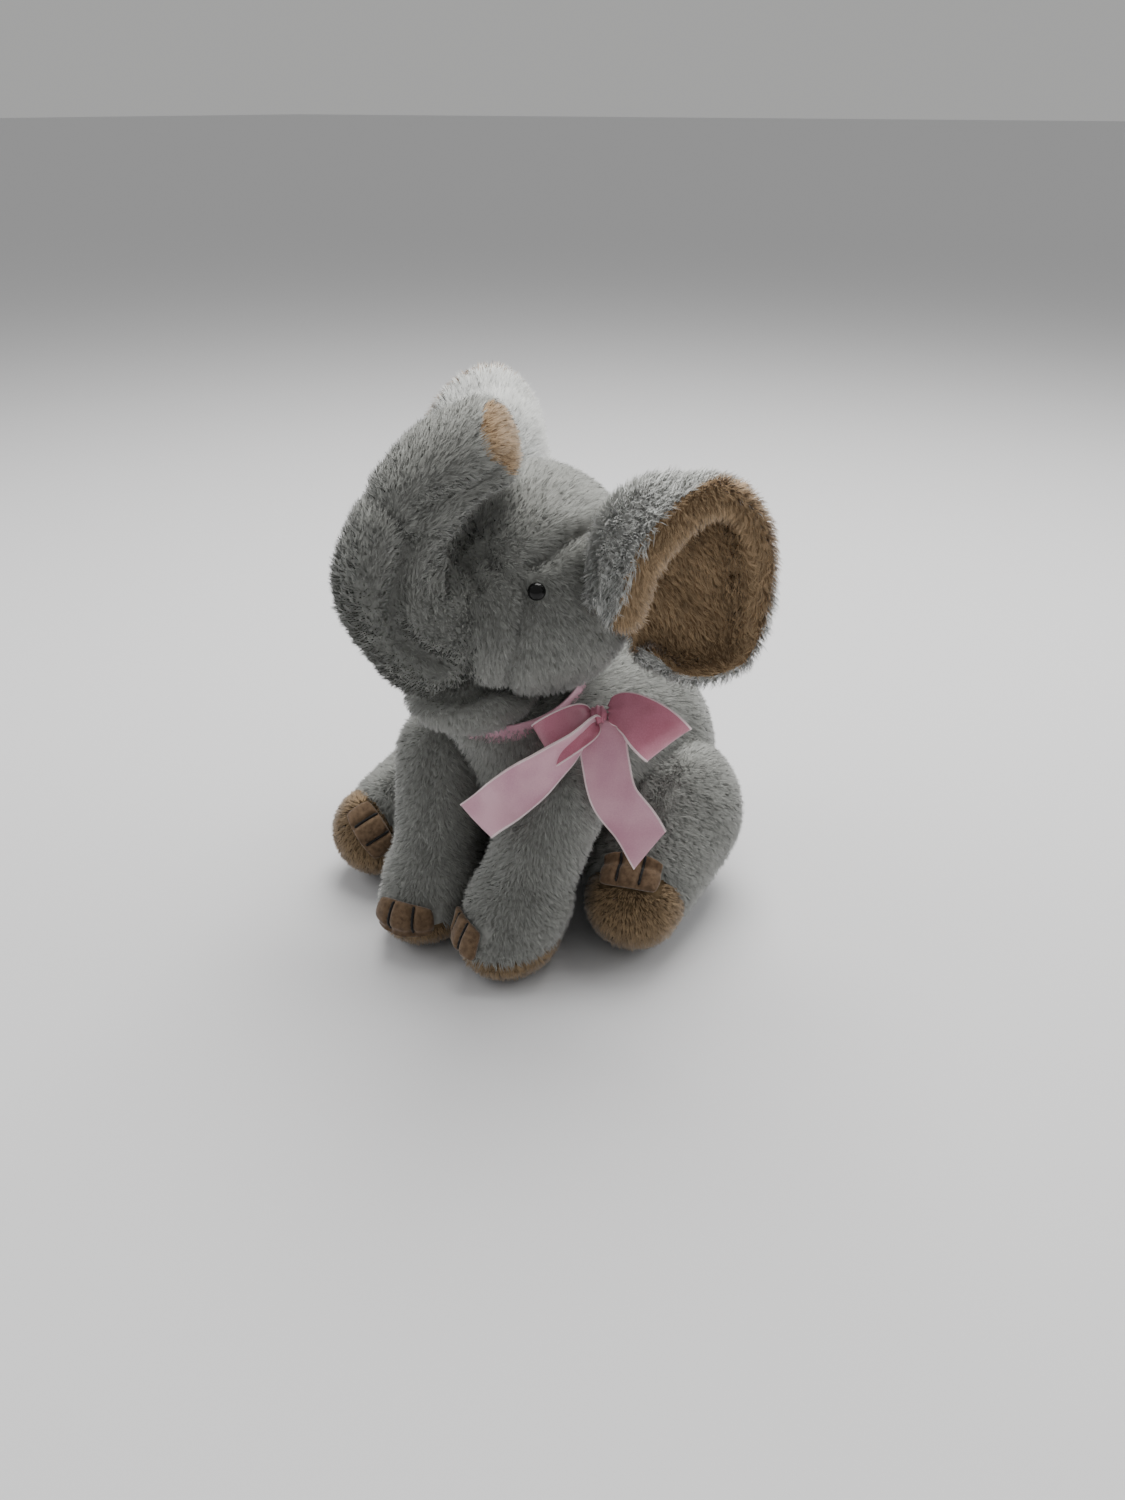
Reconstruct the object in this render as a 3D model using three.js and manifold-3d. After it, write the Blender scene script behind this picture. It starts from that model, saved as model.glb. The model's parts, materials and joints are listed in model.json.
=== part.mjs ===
// Sitting plush elephant with a ribbon bow at its neck.
// Millimetres, +Z up. It faces -Y, and its own left side is +X.
// Every fabric skin is a thin shell round its own stuffing; skins that move are cut clear of each other.
import * as THREE from 'three';
import { mergeVertices } from 'three/addons/utils/BufferGeometryUtils.js';
import Module from 'manifold-3d';

// ---- driving dimensions ----
const SKIN = 2.4; // plush backing and pile, as one layer
const GAP = 0.35; // clearance between touching pieces
const SWING_CLEARANCE = 0.6; // extra room round a piece that swings
const ORIGIN = new THREE.Vector3(-10.1, -25.01, 0); // middle of the footprint, moved to the origin
const OUTER_STEPS = 14; // facets round a skin
const INNER_STEPS = 10; // facets round its hollow, its stuffing and the room it swings in

const TORSO_MASSES = [
  { at: [0, 62, 70], radii: [76, 68, 73] },
  { at: [0, 22, 99], radii: [61, 60, 50] },
  { at: [0, -4, 122], radii: [47, 45, 26] },
];
const NECK = { x: 0, y: -15, z: 142, openingRadius: 26 };
const HEAD_YAW = THREE.MathUtils.degToRad(-25);
const HEAD_MASSES = [
  { at: [0, 14, 200], radii: [57, 52, 55] },
  { at: [22, 4, 182], radii: [37, 48, 38] },
  { at: [-22, 4, 182], radii: [37, 48, 38] },
  { at: [0, -24, 186], radii: [40, 34, 34] },
];
const JAW = { at: [2, -27, 147], radii: [30, 35, 21] };
const MOUTH_HEIGHT = 158;
const GUSSET_HALF_WIDTH = 27;
const GUSSET_LOW = 214;

const TRUNK_LOWER = [[3, -44, 183], [7, -68, 211], [10, -64, 233]];
const TRUNK_LOWER_RADII = [36.5, 27, 24];
const TRUNK_END = [[11, -54, 247], [13, -39, 259], [15, -22, 266]];
const TRUNK_END_RADII = [23.5, 22.5, 21.5];
const TIP_PATCH_RADIUS = 17;

const EYE = { lateral: 48.6, forward: 12, height: 209, radius: 4.6, shank: 1.6 };
const EAR_THICKNESS = 3;
const EAR_ROOT = [
  [57, 21, 205], [56, 17, 226], [55, 24, 243], [54, 36, 238],
  [54, 43, 220], [55, 42, 200], [58, 34, 181],
];
const EAR_RIM = [
  [84, 15, 203], [91, 21, 233], [97, 38, 250], [101, 62, 257],
  [106, 80, 243], [107, 88, 214], [104, 80, 164], [88, 55, 158], [70, 38, 173],
];
const RIGHT_EAR_LIFT = { back: -16, up: 22 };

const SHOULDER = { x: 39, y: -26, z: 93, radius: 27 };
const FRONT_ANKLE_RADIUS = 24.5;
const FRONT_FOOT = { z: 20, radii: [25.5, 32, 24] };
const FRONT_FEET = { left: [30, -57], right: [-24, -60] };
const FRONT_SOLE_HEIGHT = 16;
const HIP = { x: 57, y: 49, z: 51, radius: 47 };
const HIND_FOOT = { z: 29, radius: 28.5 };
const HIND_FEET = { left: [75, -9], right: [-87, -32] };
const HIND_SOLE_DEPTH = 8;
const TOE_PANEL = { width: 34, height: 17, thickness: 1.1 };
const STITCH = { width: 1.3, height: 9, spacing: 11, thickness: 0.8 };

const TAIL = [[0, 125, 52], [0, 141, 48], [2, 151, 32]];
const TAIL_RADII = [8, 6, 5];
const PELLET_BAG = { at: [0, 60, 20], radii: [30, 38, 15] };

const RIBBON_WIDTH = 24;
const RIBBON_THICKNESS = 1;
const BAND = { x: 0, y: -6, z: 136, radius: 49, tiltX: 0.28, tiltY: -0.06, height: 12 };
const KNOT = new THREE.Vector3(58, -22, 140);
const KNOT_RADII = [5, 5.4, 5];
const LOOPS = {
  back: { direction: [0.82, 0.38, -0.36], across: [0.13, 0.56, 0.75], length: 43 },
  front: { direction: [-0.44, -0.88, -0.30], across: [-0.6, 0.2, 0.76], length: 35 },
};
const RIBBON_TAILS = {
  front: {
    across: [0.35, 0.2, 0.9],
    path: [[61, -31, 134], [60, -44, 123], [50, -58, 109], [33, -66, 97], [17, -68, 88]],
  },
  back: {
    across: [0.85, 0.5, 0.1],
    path: [[62, -25, 133], [67, -29, 121], [75, -33, 104], [83, -34, 88], [90, -34, 75]],
  },
};

const END_BACK = 2; // the trunk's end rests on the forehead, so it hardly bends back
const LIMIT = {
  headTurn: 8, trunkBase: 6, trunkEnd: 12, ear: 10, frontLeg: 12, hindLeg: 12, tail: 25,
};

const ROOM_RADIUS = 40; // the largest round form that swings

const COLOUR = {
  plush: 0x8e8e88, plushPale: 0xb9bab4, lining: 0x8a6a46, sole: 0x8e7450, suede: 0x5a4632,
  satinPale: 0xc9a0ae, satinRose: 0x9c5668, eye: 0x0a0a0a, thread: 0x101010,
  fibre: 0xf2f2ee, pellet: 0xd8d4c8, nylon: 0xe6e6e2,
};

const wasm = await Module();
wasm.setup();

// ---- solids and meshes ----
const vec = (a) => new THREE.Vector3(a[0], a[1], a[2]);

function toSolid(geometry) {
  const g = geometry.clone();
  g.deleteAttribute('normal');
  g.deleteAttribute('uv');
  const merged = mergeVertices(g, 1e-4);
  return new wasm.Manifold(new wasm.Mesh({
    numProp: 3,
    vertProperties: new Float32Array(merged.attributes.position.array),
    triVerts: new Uint32Array(merged.index.array),
  }));
}

function toGeometry(solid) {
  const mesh = solid.getMesh();
  const g = new THREE.BufferGeometry();
  g.setAttribute('position', new THREE.BufferAttribute(new Float32Array(mesh.vertProperties), 3));
  g.setIndex(new THREE.BufferAttribute(new Uint32Array(mesh.triVerts), 1));
  return g;
}

function named(name, solid, colour, roughness = 0.95) {
  const material = new THREE.MeshStandardMaterial({ color: colour, roughness, metalness: 0 });
  const mesh = new THREE.Mesh(toGeometry(solid), material);
  mesh.geometry.computeVertexNormals();
  mesh.name = name;
  return mesh;
}

const union = (solids) => solids.reduce((all, s) => all.add(s));

// ---- simple shapes ----
function ellipsoid(at, radii, grow = 0, steps = OUTER_STEPS) {
  const g = new THREE.SphereGeometry(1, steps, Math.round(steps * 0.6));
  g.rotateX(Math.PI / 2);
  g.scale(radii[0] + grow, radii[1] + grow, radii[2] + grow);
  g.translate(at[0], at[1], at[2]);
  return g;
}

// A round-ended limb: a straight lathed form, bent to follow a curve in its own plane.
function limb(points, radii, grow = 0, steps = OUTER_STEPS, slices = 3) {
  const curve = new THREE.CatmullRomCurve3(points, false, 'centripetal');
  const length = curve.getLength();
  const radiusAt = (t) => {
    const at = t * (radii.length - 1);
    const i = Math.min(Math.floor(at), radii.length - 2);
    return THREE.MathUtils.lerp(radii[i], radii[i + 1], at - i) + grow;
  };
  const arc = Math.round(steps / 4);
  const rows = points.length > 2 ? slices : 1;
  const profile = [];
  for (let i = 0; i < arc; i++) {
    const t = (Math.PI / 2) * (i / arc);
    profile.push(new THREE.Vector2(radiusAt(0) * Math.sin(t), -radiusAt(0) * Math.cos(t)));
  }
  for (let i = 0; i <= rows; i++) {
    profile.push(new THREE.Vector2(radiusAt(i / rows), (length * i) / rows));
  }
  for (let i = arc - 1; i >= 0; i--) {
    const t = (Math.PI / 2) * (i / arc);
    profile.push(new THREE.Vector2(radiusAt(1) * Math.sin(t), length + radiusAt(1) * Math.cos(t)));
  }
  const g = new THREE.LatheGeometry(profile, steps);
  const position = g.attributes.position;
  const start = curve.getTangentAt(0);
  const hint = Math.abs(start.x) > 0.8 ? new THREE.Vector3(0, 0, 1) : new THREE.Vector3(1, 0, 0);
  for (let i = 0; i < position.count; i++) {
    const along = position.getY(i);
    const t = THREE.MathUtils.clamp(along / length, 0, 1);
    const tangent = curve.getTangentAt(t);
    const side = hint.clone().addScaledVector(tangent, -hint.dot(tangent)).normalize();
    const other = side.clone().cross(tangent);
    const p = curve.getPointAt(t).addScaledVector(tangent, along - t * length)
      .addScaledVector(side, position.getX(i)).addScaledVector(other, position.getZ(i));
    position.setXYZ(i, p.x, p.y, p.z);
  }
  return g;
}

function orientedBox(centre, size, zAxis, xHint) {
  const z = zAxis.clone().normalize();
  const x = xHint.clone().addScaledVector(z, -xHint.dot(z)).normalize();
  const y = z.clone().cross(x);
  const g = new THREE.BoxGeometry(size[0], size[1], size[2]);
  g.applyMatrix4(new THREE.Matrix4().makeBasis(x, y, z));
  g.translate(centre.x, centre.y, centre.z);
  return g;
}

function turned(geometries, pivot, axis, degrees) {
  const m = new THREE.Matrix4().makeTranslation(pivot.x, pivot.y, pivot.z)
    .multiply(new THREE.Matrix4().makeRotationAxis(axis, THREE.MathUtils.degToRad(degrees)))
    .multiply(new THREE.Matrix4().makeTranslation(-pivot.x, -pivot.y, -pivot.z));
  return geometries.map((g) => g.clone().applyMatrix4(m));
}

// The room that geometries take while they swing by up to limit either way.
function swept(geometries, pivot, axis, low, high, count = 3) {
  const all = [];
  for (let i = 0; i < count; i++) {
    all.push(...turned(geometries, pivot, axis, low + ((high - low) * i) / (count - 1)));
  }
  return union(all.map(toSolid));
}

const solidOf = (geometries) => union(geometries.map(toSolid));
const FAR = 600; // size of a block that stands for half of space

function halfSpace(point, normal) {
  const centre = point.clone().addScaledVector(normal.clone().normalize(), FAR / 2);
  const hint = Math.abs(normal.x) > 0.9 ? new THREE.Vector3(0, 1, 0) : new THREE.Vector3(1, 0, 0);
  return toSolid(orientedBox(centre, [FAR, FAR, FAR], normal, hint));
}

// ---- frames ----
const X = new THREE.Vector3(1, 0, 0);
const Z = new THREE.Vector3(0, 0, 1);
const headFrame = new THREE.Matrix4().makeTranslation(NECK.x, NECK.y, 0)
  .multiply(new THREE.Matrix4().makeRotationZ(HEAD_YAW));
const headPivot = new THREE.Vector3(0, 0, 0);
const inTorsoFrame = (geometries) => geometries.map((g) => g.clone().applyMatrix4(headFrame));
const inHeadFrame = (geometries) => {
  const back = headFrame.clone().invert();
  return geometries.map((g) => g.clone().applyMatrix4(back));
};

// ---- outlines, as functions of how far they are grown and how many facets go round ----
const trunkLower = (grow, steps) => [limb(TRUNK_LOWER.map(vec), TRUNK_LOWER_RADII, grow, steps)];
const trunkEnd = (grow, steps) => [limb(TRUNK_END.map(vec), TRUNK_END_RADII, grow, steps)];
const masses = (list) => (grow, steps) => list.map((m) => ellipsoid(m.at, m.radii, grow, steps));
const headMasses = masses(HEAD_MASSES);
const jawMass = masses([JAW]);
const torsoMasses = masses(TORSO_MASSES);
const tailShape = (grow) => [limb(TAIL.map(vec), TAIL_RADII, grow, 10, 3)];

// The same outline with coarse facets that lie outside the round form, grown by clearance.
function room(outline, clearance) {
  const coarse = INNER_STEPS;
  const outside = (radius) => (radius + clearance) / Math.cos(Math.PI / coarse) ** 2 - radius;
  return outline(outside(ROOM_RADIUS), coarse);
}

function frontLegUpper(side, grow, steps) {
  const shoulder = new THREE.Vector3(side * SHOULDER.x, SHOULDER.y, SHOULDER.z);
  const [x, y] = side > 0 ? FRONT_FEET.left : FRONT_FEET.right;
  const ankle = new THREE.Vector3(x + side, y + 7, 34);
  return [limb([shoulder, ankle], [SHOULDER.radius, FRONT_ANKLE_RADIUS], grow, steps)];
}

function frontFoot(side) {
  const [x, y] = side > 0 ? FRONT_FEET.left : FRONT_FEET.right;
  return new THREE.Vector3(x, y, FRONT_FOOT.z);
}

function hindFootAt(side) {
  const [x, y] = side > 0 ? HIND_FEET.left : HIND_FEET.right;
  return new THREE.Vector3(x, y, HIND_FOOT.z);
}

function frontLegShape(side, grow, steps) {
  return [
    ...frontLegUpper(side, grow, steps),
    ellipsoid(frontFoot(side).toArray(), FRONT_FOOT.radii, grow, steps),
  ];
}

function hindLegShape(side, grow, steps) {
  const hip = new THREE.Vector3(side * HIP.x, HIP.y, HIP.z);
  return [limb([hip, hindFootAt(side)], [HIP.radius, HIND_FOOT.radius], grow, steps)];
}

// ---- ears: two layers of cloth on one cupped surface ----
function earSurface(side) {
  const shift = side < 0 ? RIGHT_EAR_LIFT : { back: 0, up: 0 };
  const root = new THREE.CatmullRomCurve3(EAR_ROOT.map(vec), false, 'centripetal');
  const rim = new THREE.CatmullRomCurve3(EAR_RIM.map(vec), false, 'centripetal');
  return (across, along) => {
    const p = root.getPoint(along);
    const q = rim.getPoint(along);
    q.y += shift.back;
    q.z += shift.up;
    const s = p.lerp(q, across);
    return new THREE.Vector3(side * s.x, s.y, s.z);
  };
}

function earLayer(side, from, to) {
  const surface = earSurface(side);
  const g = new THREE.BoxGeometry(1, 1, 1, 5, 12, 1);
  const position = g.attributes.position;
  const step = 0.01;
  for (let i = 0; i < position.count; i++) {
    const across = THREE.MathUtils.clamp(position.getX(i) + 0.5, 0, 1);
    const along = THREE.MathUtils.clamp(position.getY(i) + 0.5, 0, 1);
    const lay = position.getZ(i) > 0 ? to : from;
    const a0 = Math.max(across - step, 0);
    const a1 = Math.min(across + step, 1);
    const b0 = Math.max(along - step, 0);
    const b1 = Math.min(along + step, 1);
    const du = surface(a1, along).sub(surface(a0, along));
    const dv = surface(across, b1).sub(surface(across, b0));
    const normal = du.clone().cross(dv).normalize().multiplyScalar(side);
    const p = surface(across, along).addScaledVector(normal, lay);
    position.setXYZ(i, p.x, p.y, p.z);
  }
  if (side < 0) flip(g);
  return g;
}

function flip(geometry) {
  const index = geometry.index.array;
  for (let i = 0; i < index.length; i += 3) {
    [index[i], index[i + 1]] = [index[i + 1], index[i]];
  }
}

// A channel in the head round the ear's root, wide enough for it to fold either way.
const earRoom = (side) => [limb(
  [0, 2, 3, 6].map((i) => new THREE.Vector3(side * EAR_ROOT[i][0], EAR_ROOT[i][1], EAR_ROOT[i][2])),
  [7.5, 7.5], 0, 8, 8,
)];
const earPivot = (side) => new THREE.Vector3(side * 56, 32, 210);

// ---- ribbons ----
// A flat ribbon along a path, facing one way; pinch(t) is its share of the full width.
function ribbonStrip(path, across, width, thickness, steps = 14, pinch = () => 1) {
  const curve = new THREE.CatmullRomCurve3(path, false, 'centripetal');
  const g = new THREE.BoxGeometry(width, thickness, 1, 2, 1, steps);
  const position = g.attributes.position;
  for (let i = 0; i < position.count; i++) {
    const t = THREE.MathUtils.clamp(position.getZ(i) + 0.5, 0, 1);
    const tangent = curve.getTangent(t);
    const side = across.clone().addScaledVector(tangent, -across.dot(tangent)).normalize();
    const up = tangent.clone().cross(side);
    const p = curve.getPoint(t).addScaledVector(side, position.getX(i) * pinch(t))
      .addScaledVector(up, position.getY(i));
    position.setXYZ(i, p.x, p.y, p.z);
  }
  return g;
}

function bandRing(grow, steps = 32) {
  const inner = BAND.radius - grow;
  const outer = BAND.radius + RIBBON_THICKNESS + grow;
  const half = BAND.height / 2 + grow;
  const profile = [
    new THREE.Vector2(inner, -half), new THREE.Vector2(outer, -half),
    new THREE.Vector2(outer, half), new THREE.Vector2(inner, half), new THREE.Vector2(inner, -half),
  ];
  const g = new THREE.LatheGeometry(profile, steps);
  g.rotateX(Math.PI / 2);
  g.rotateY(BAND.tiltY);
  g.rotateX(BAND.tiltX);
  g.translate(BAND.x, BAND.y, BAND.z);
  return g;
}

// ---- assembly ----
const elephant = new THREE.Group();
const head = new THREE.Group();
head.position.set(NECK.x, NECK.y, 0);
head.rotation.z = HEAD_YAW;
elephant.add(head);

const floor = halfSpace(new THREE.Vector3(0, 0, 0), Z);
const trunkPivot = vec(TRUNK_LOWER[0]);
const trunkEndPivot = vec(TRUNK_END[0]);
const shoulderPivot = (side) => new THREE.Vector3(side * SHOULDER.x, SHOULDER.y, SHOULDER.z);
const hipPivot = (side) => new THREE.Vector3(side * HIP.x, HIP.y, HIP.z);
const tailPivot = vec(TAIL[0]);
const neckHole = (frame) => {
  const g = new THREE.CylinderGeometry(NECK.openingRadius, NECK.openingRadius, 40, 32);
  g.rotateX(Math.PI / 2);
  g.translate(frame === 'head' ? 0 : NECK.x, frame === 'head' ? 0 : NECK.y, NECK.z);
  return toSolid(g);
};

function shell(outline, slack = 0) {
  return {
    outer: solidOf(outline(0, OUTER_STEPS)),
    inner: solidOf(outline(-SKIN, INNER_STEPS)),
    core: solidOf(outline(-SKIN - 1.3 * GAP - slack, INNER_STEPS)),
  };
}

// The main body of a cut solid, without the slivers that fall off.
function main(solid) {
  return solid.decompose().reduce((best, s) => (s.volume() > best.volume() ? s : best));
}

function buildTorso() {
  const body = shell(torsoMasses);
  const headRoom = swept(
    inTorsoFrame([...room(headMasses, SWING_CLEARANCE), ...room(jawMass, SWING_CLEARANCE)]),
    new THREE.Vector3(NECK.x, NECK.y, 0), Z, -LIMIT.headTurn, LIMIT.headTurn,
  );
  const rooms = [headRoom];
  const wideRooms = [headRoom];
  for (const side of [1, -1]) {
    const fore = (grow, steps) => frontLegUpper(side, grow, steps);
    const hind = (grow, steps) => hindLegShape(side, grow, steps);
    rooms.push(swept(room(fore, SWING_CLEARANCE), shoulderPivot(side), X, -LIMIT.frontLeg, 2, 2));
    rooms.push(swept(room(hind, SWING_CLEARANCE), hipPivot(side), Z, 0, side * LIMIT.hindLeg, 2));
    wideRooms.push(solidOf(turned(room(fore, 4.5), shoulderPivot(side), X, 1 - LIMIT.frontLeg / 2)));
    wideRooms.push(solidOf(turned(room(hind, 4.5), hipPivot(side), Z, (side * LIMIT.hindLeg) / 2)));
  }
  rooms.push(swept(tailShape(SWING_CLEARANCE + 0.5), tailPivot, Z, -LIMIT.tail, LIMIT.tail));
  rooms.push(toSolid(bandRing(GAP)));
  wideRooms.push(toSolid(ellipsoid(TAIL[0], [13, 13, 13], 0, INNER_STEPS)));
  const taken = union(rooms);
  const takenInside = union(wideRooms);
  const below = halfSpace(new THREE.Vector3(0, 0, NECK.z - GAP), Z.clone().negate());
  const bag = toSolid(ellipsoid(PELLET_BAG.at, PELLET_BAG.radii, 0, INNER_STEPS)).intersect(body.core)
    .intersect(halfSpace(new THREE.Vector3(0, 0, SKIN + 2 * GAP), Z)).subtract(takenInside);
  const bagRoom = toSolid(ellipsoid(PELLET_BAG.at, PELLET_BAG.radii, GAP * 1.2, INNER_STEPS));
  const skin = body.outer.intersect(floor)
    .subtract(body.inner.intersect(halfSpace(new THREE.Vector3(0, 0, SKIN), Z)))
    .subtract(taken).subtract(neckHole('torso')).intersect(below);
  const stuffing = body.core.intersect(halfSpace(new THREE.Vector3(0, 0, SKIN + GAP), Z))
    .subtract(takenInside).subtract(bagRoom).intersect(below);
  elephant.add(named('torso_skin', main(skin), COLOUR.plush));
  elephant.add(named('torso_stuffing', main(stuffing), COLOUR.fibre));
  elephant.add(named('seat_pellet_bag', main(bag), COLOUR.pellet));
  elephant.add(named('tail', solidOf(tailShape(0)), COLOUR.plush));
}

function eyeShape(side, grow) {
  const profile = [[0, -10], [EYE.shank + grow, -10], [EYE.shank + grow, 0]];
  for (let i = 0; i <= 4; i++) {
    const t = (Math.PI / 2) * (i / 4);
    const wide = i === 4 ? 0 : (EYE.radius + grow) * Math.cos(t);
    profile.push([wide, 0.4 + (3.4 + grow) * Math.sin(t)]);
  }
  const g = new THREE.LatheGeometry(profile.map((p) => new THREE.Vector2(p[0], p[1])), 14);
  return placeEye(g, side);
}

function placeEye(geometry, side) {
  const out = new THREE.Vector3(side * 0.83, -0.53, 0.165).normalize();
  const up = new THREE.Vector3(0, 1, 0);
  geometry.applyQuaternion(new THREE.Quaternion().setFromUnitVectors(up, out));
  geometry.translate(side * EYE.lateral, -EYE.forward, EYE.height);
  return geometry;
}

function washer(side, grow) {
  const inner = EYE.shank + GAP - grow;
  const outer = 6 + grow;
  const back = -9.4 - grow;
  const front = -8.2 + grow;
  const p = [[inner, back], [outer, back], [outer, front], [inner, front], [inner, back]];
  return placeEye(new THREE.LatheGeometry(p.map((q) => new THREE.Vector2(q[0], q[1])), 14), side);
}

function buildHead() {
  const body = shell(headMasses);
  const base = LIMIT.trunkBase;
  const trunkRoom = swept(room(trunkLower, SWING_CLEARANCE), trunkPivot, X, -base, base, 2);
  const endBack = turned(room(trunkEnd, SWING_CLEARANCE), trunkEndPivot, X, -END_BACK);
  const endRoom = swept(endBack, trunkPivot, X, -base, base, 2);
  const bandShape = inHeadFrame([bandRing(SWING_CLEARANCE, 16)]);
  const bandRoom = swept(bandShape, headPivot, Z, -LIMIT.headTurn, LIMIT.headTurn, 2);
  const ears = union([1, -1].map((side) => solidOf(earRoom(side))));
  const above = halfSpace(new THREE.Vector3(0, 0, NECK.z + GAP), Z);
  const jawWhole = solidOf(jawMass(0));
  const jawRoom = solidOf(jawMass(GAP)).intersect(
    halfSpace(new THREE.Vector3(0, 0, MOUTH_HEIGHT + GAP), Z.clone().negate()),
  ).intersect(halfSpace(new THREE.Vector3(0, -6 + GAP, 0), new THREE.Vector3(0, -1, 0)));
  const taken = union([trunkRoom, endRoom, bandRoom, ears, jawRoom]);
  const eyes = union([1, -1].map((side) => toSolid(eyeShape(side, GAP))));
  const hole = neckHole('head');
  const openings = union([taken, eyes, hole]);
  const skin = main(body.outer.subtract(body.inner).subtract(openings).intersect(above));
  const washers = union([1, -1].map((side) => toSolid(washer(side, GAP))));
  const inside = union([taken, eyes, washers]);
  const stuffing = main(body.core.subtract(inside).intersect(above));
  const gussetBlock = (grow) => {
    const size = [2 * GUSSET_HALF_WIDTH + 2 * grow, 160, 100 + 2 * grow];
    return toSolid(orientedBox(new THREE.Vector3(0, 40, GUSSET_LOW + 50), size, Z, X));
  };
  head.add(named('forehead_gusset', main(skin.intersect(gussetBlock(0))), COLOUR.plush));
  head.add(named('head_skin', main(skin.subtract(gussetBlock(GAP))), COLOUR.plush));
  head.add(named('head_stuffing', stuffing, COLOUR.fibre));
  const jaw = jawWhole
    .intersect(halfSpace(new THREE.Vector3(0, 0, MOUTH_HEIGHT), Z.clone().negate()))
    .intersect(halfSpace(new THREE.Vector3(0, -6, 0), new THREE.Vector3(0, -1, 0)))
    .subtract(union([trunkRoom, bandRoom]));
  head.add(named('lower_jaw', main(jaw), COLOUR.plush));
  for (const side of [1, -1]) {
    const word = side > 0 ? 'left' : 'right';
    head.add(named(`eye_${word}`, toSolid(eyeShape(side, 0)), COLOUR.eye, 0.1));
    head.add(named(`eye_washer_${word}`, toSolid(washer(side, 0)), COLOUR.nylon, 0.5));
    const outer = toSolid(earLayer(side, GAP / 2, EAR_THICKNESS));
    const lining = toSolid(earLayer(side, -EAR_THICKNESS, -GAP / 2));
    head.add(named(`ear_outer_${word}`, outer, COLOUR.plushPale));
    head.add(named(`ear_lining_${word}`, lining, COLOUR.lining));
  }
}

function buildTrunk() {
  const lower = shell(trunkLower, 1.8);
  const end = shell(trunkEnd);
  const endShape = room(trunkEnd, SWING_CLEARANCE);
  const endRoom = swept(endShape, trunkEndPivot, X, -END_BACK, LIMIT.trunkEnd, 2);
  const base = toSolid(orientedBox(
    trunkPivot.clone().add(new THREE.Vector3(0, 12, -8)), [24, 60, 24], Z, X,
  ));
  const neckOf = vec(TRUNK_LOWER[2]).sub(trunkEndPivot).normalize();
  const mouthAt = trunkEndPivot.clone().addScaledVector(neckOf, 20).toArray();
  const mouth = toSolid(ellipsoid(mouthAt, [14, 14, 14], 0, 12));
  const tipAxis = vec(TRUNK_END[2]).sub(vec(TRUNK_END[1])).normalize();
  const tipCut = vec(TRUNK_END[2]).addScaledVector(tipAxis, 13);
  const behindTip = halfSpace(tipCut, tipAxis.clone().negate());
  const patchDisc = (grow) => {
    const radius = TIP_PATCH_RADIUS + grow;
    const g = new THREE.CylinderGeometry(radius, radius, 2 * SKIN + 2 * grow, 28);
    const up = new THREE.Vector3(0, 1, 0);
    g.applyQuaternion(new THREE.Quaternion().setFromUnitVectors(up, tipAxis));
    g.translate(tipCut.x, tipCut.y, tipCut.z);
    return toSolid(g);
  };
  const lowerSkin = lower.outer.subtract(lower.inner).subtract(endRoom).subtract(base);
  head.add(named('trunk_lower_skin', main(lowerSkin), COLOUR.plush));
  head.add(named('trunk_lower_stuffing', main(lower.core.subtract(endRoom)), COLOUR.fibre));
  head.add(named(
    'trunk_end_skin',
    end.outer.subtract(end.inner).intersect(behindTip).subtract(patchDisc(GAP)).subtract(mouth),
    COLOUR.plush,
  ));
  const endStuffing = end.core.intersect(behindTip).subtract(patchDisc(GAP));
  head.add(named('trunk_end_stuffing', endStuffing, COLOUR.fibre));
  head.add(named('trunk_tip_patch', patchDisc(0).intersect(behindTip), COLOUR.lining));
}

// ---- legs, each with its sole, toe panel and two toe stitches ----
function toePiece(shape, grow, thickness, block) {
  return main(solidOf(shape(grow + thickness)).subtract(solidOf(shape(grow))).intersect(block));
}

function addLeg(name, shape, side, sole, toe, openingAt) {
  const skin = shell(shape);
  const opening = toSolid(ellipsoid(openingAt.toArray(), [13, 13, 13], 0, 12));
  const soleCut = halfSpace(sole.point, sole.normal);
  const seam = sole.point.clone().addScaledVector(sole.normal, -GAP);
  const upper = halfSpace(seam, sole.normal.clone().negate());
  const hollow = skin.inner.intersect(halfSpace(new THREE.Vector3(0, 0, SKIN), Z));
  const cover = skin.outer.intersect(floor).subtract(hollow);
  elephant.add(named(`${name}_skin`, cover.intersect(upper).subtract(opening), COLOUR.plush));
  elephant.add(named(`${name}_sole`, cover.intersect(soleCut), COLOUR.sole));
  elephant.add(named(
    `${name}_stuffing`,
    skin.core.intersect(halfSpace(new THREE.Vector3(0, 0, SKIN + GAP), Z)),
    COLOUR.fibre,
  ));
  const size = [TOE_PANEL.width, 44, TOE_PANEL.height];
  const block = toSolid(orientedBox(toe.centre, size, toe.up, toe.across));
  const panel = toePiece(shape, GAP, TOE_PANEL.thickness, block);
  elephant.add(named(`${name}_toe_panel`, panel, COLOUR.suede));
  for (const [i, word] of [[-1, 'inner'], [1, 'outer']]) {
    const shift = toe.across.clone().normalize().multiplyScalar(side * i * STITCH.spacing / 2);
    const lineSize = [STITCH.width, 44, STITCH.height];
    const line = toSolid(orientedBox(toe.centre.clone().add(shift), lineSize, toe.up, toe.across));
    const stitch = toePiece(shape, 2 * GAP + TOE_PANEL.thickness, STITCH.thickness, line);
    elephant.add(named(`${name}_toe_stitch_${word}`, stitch, COLOUR.thread, 0.8));
  }
}

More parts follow.
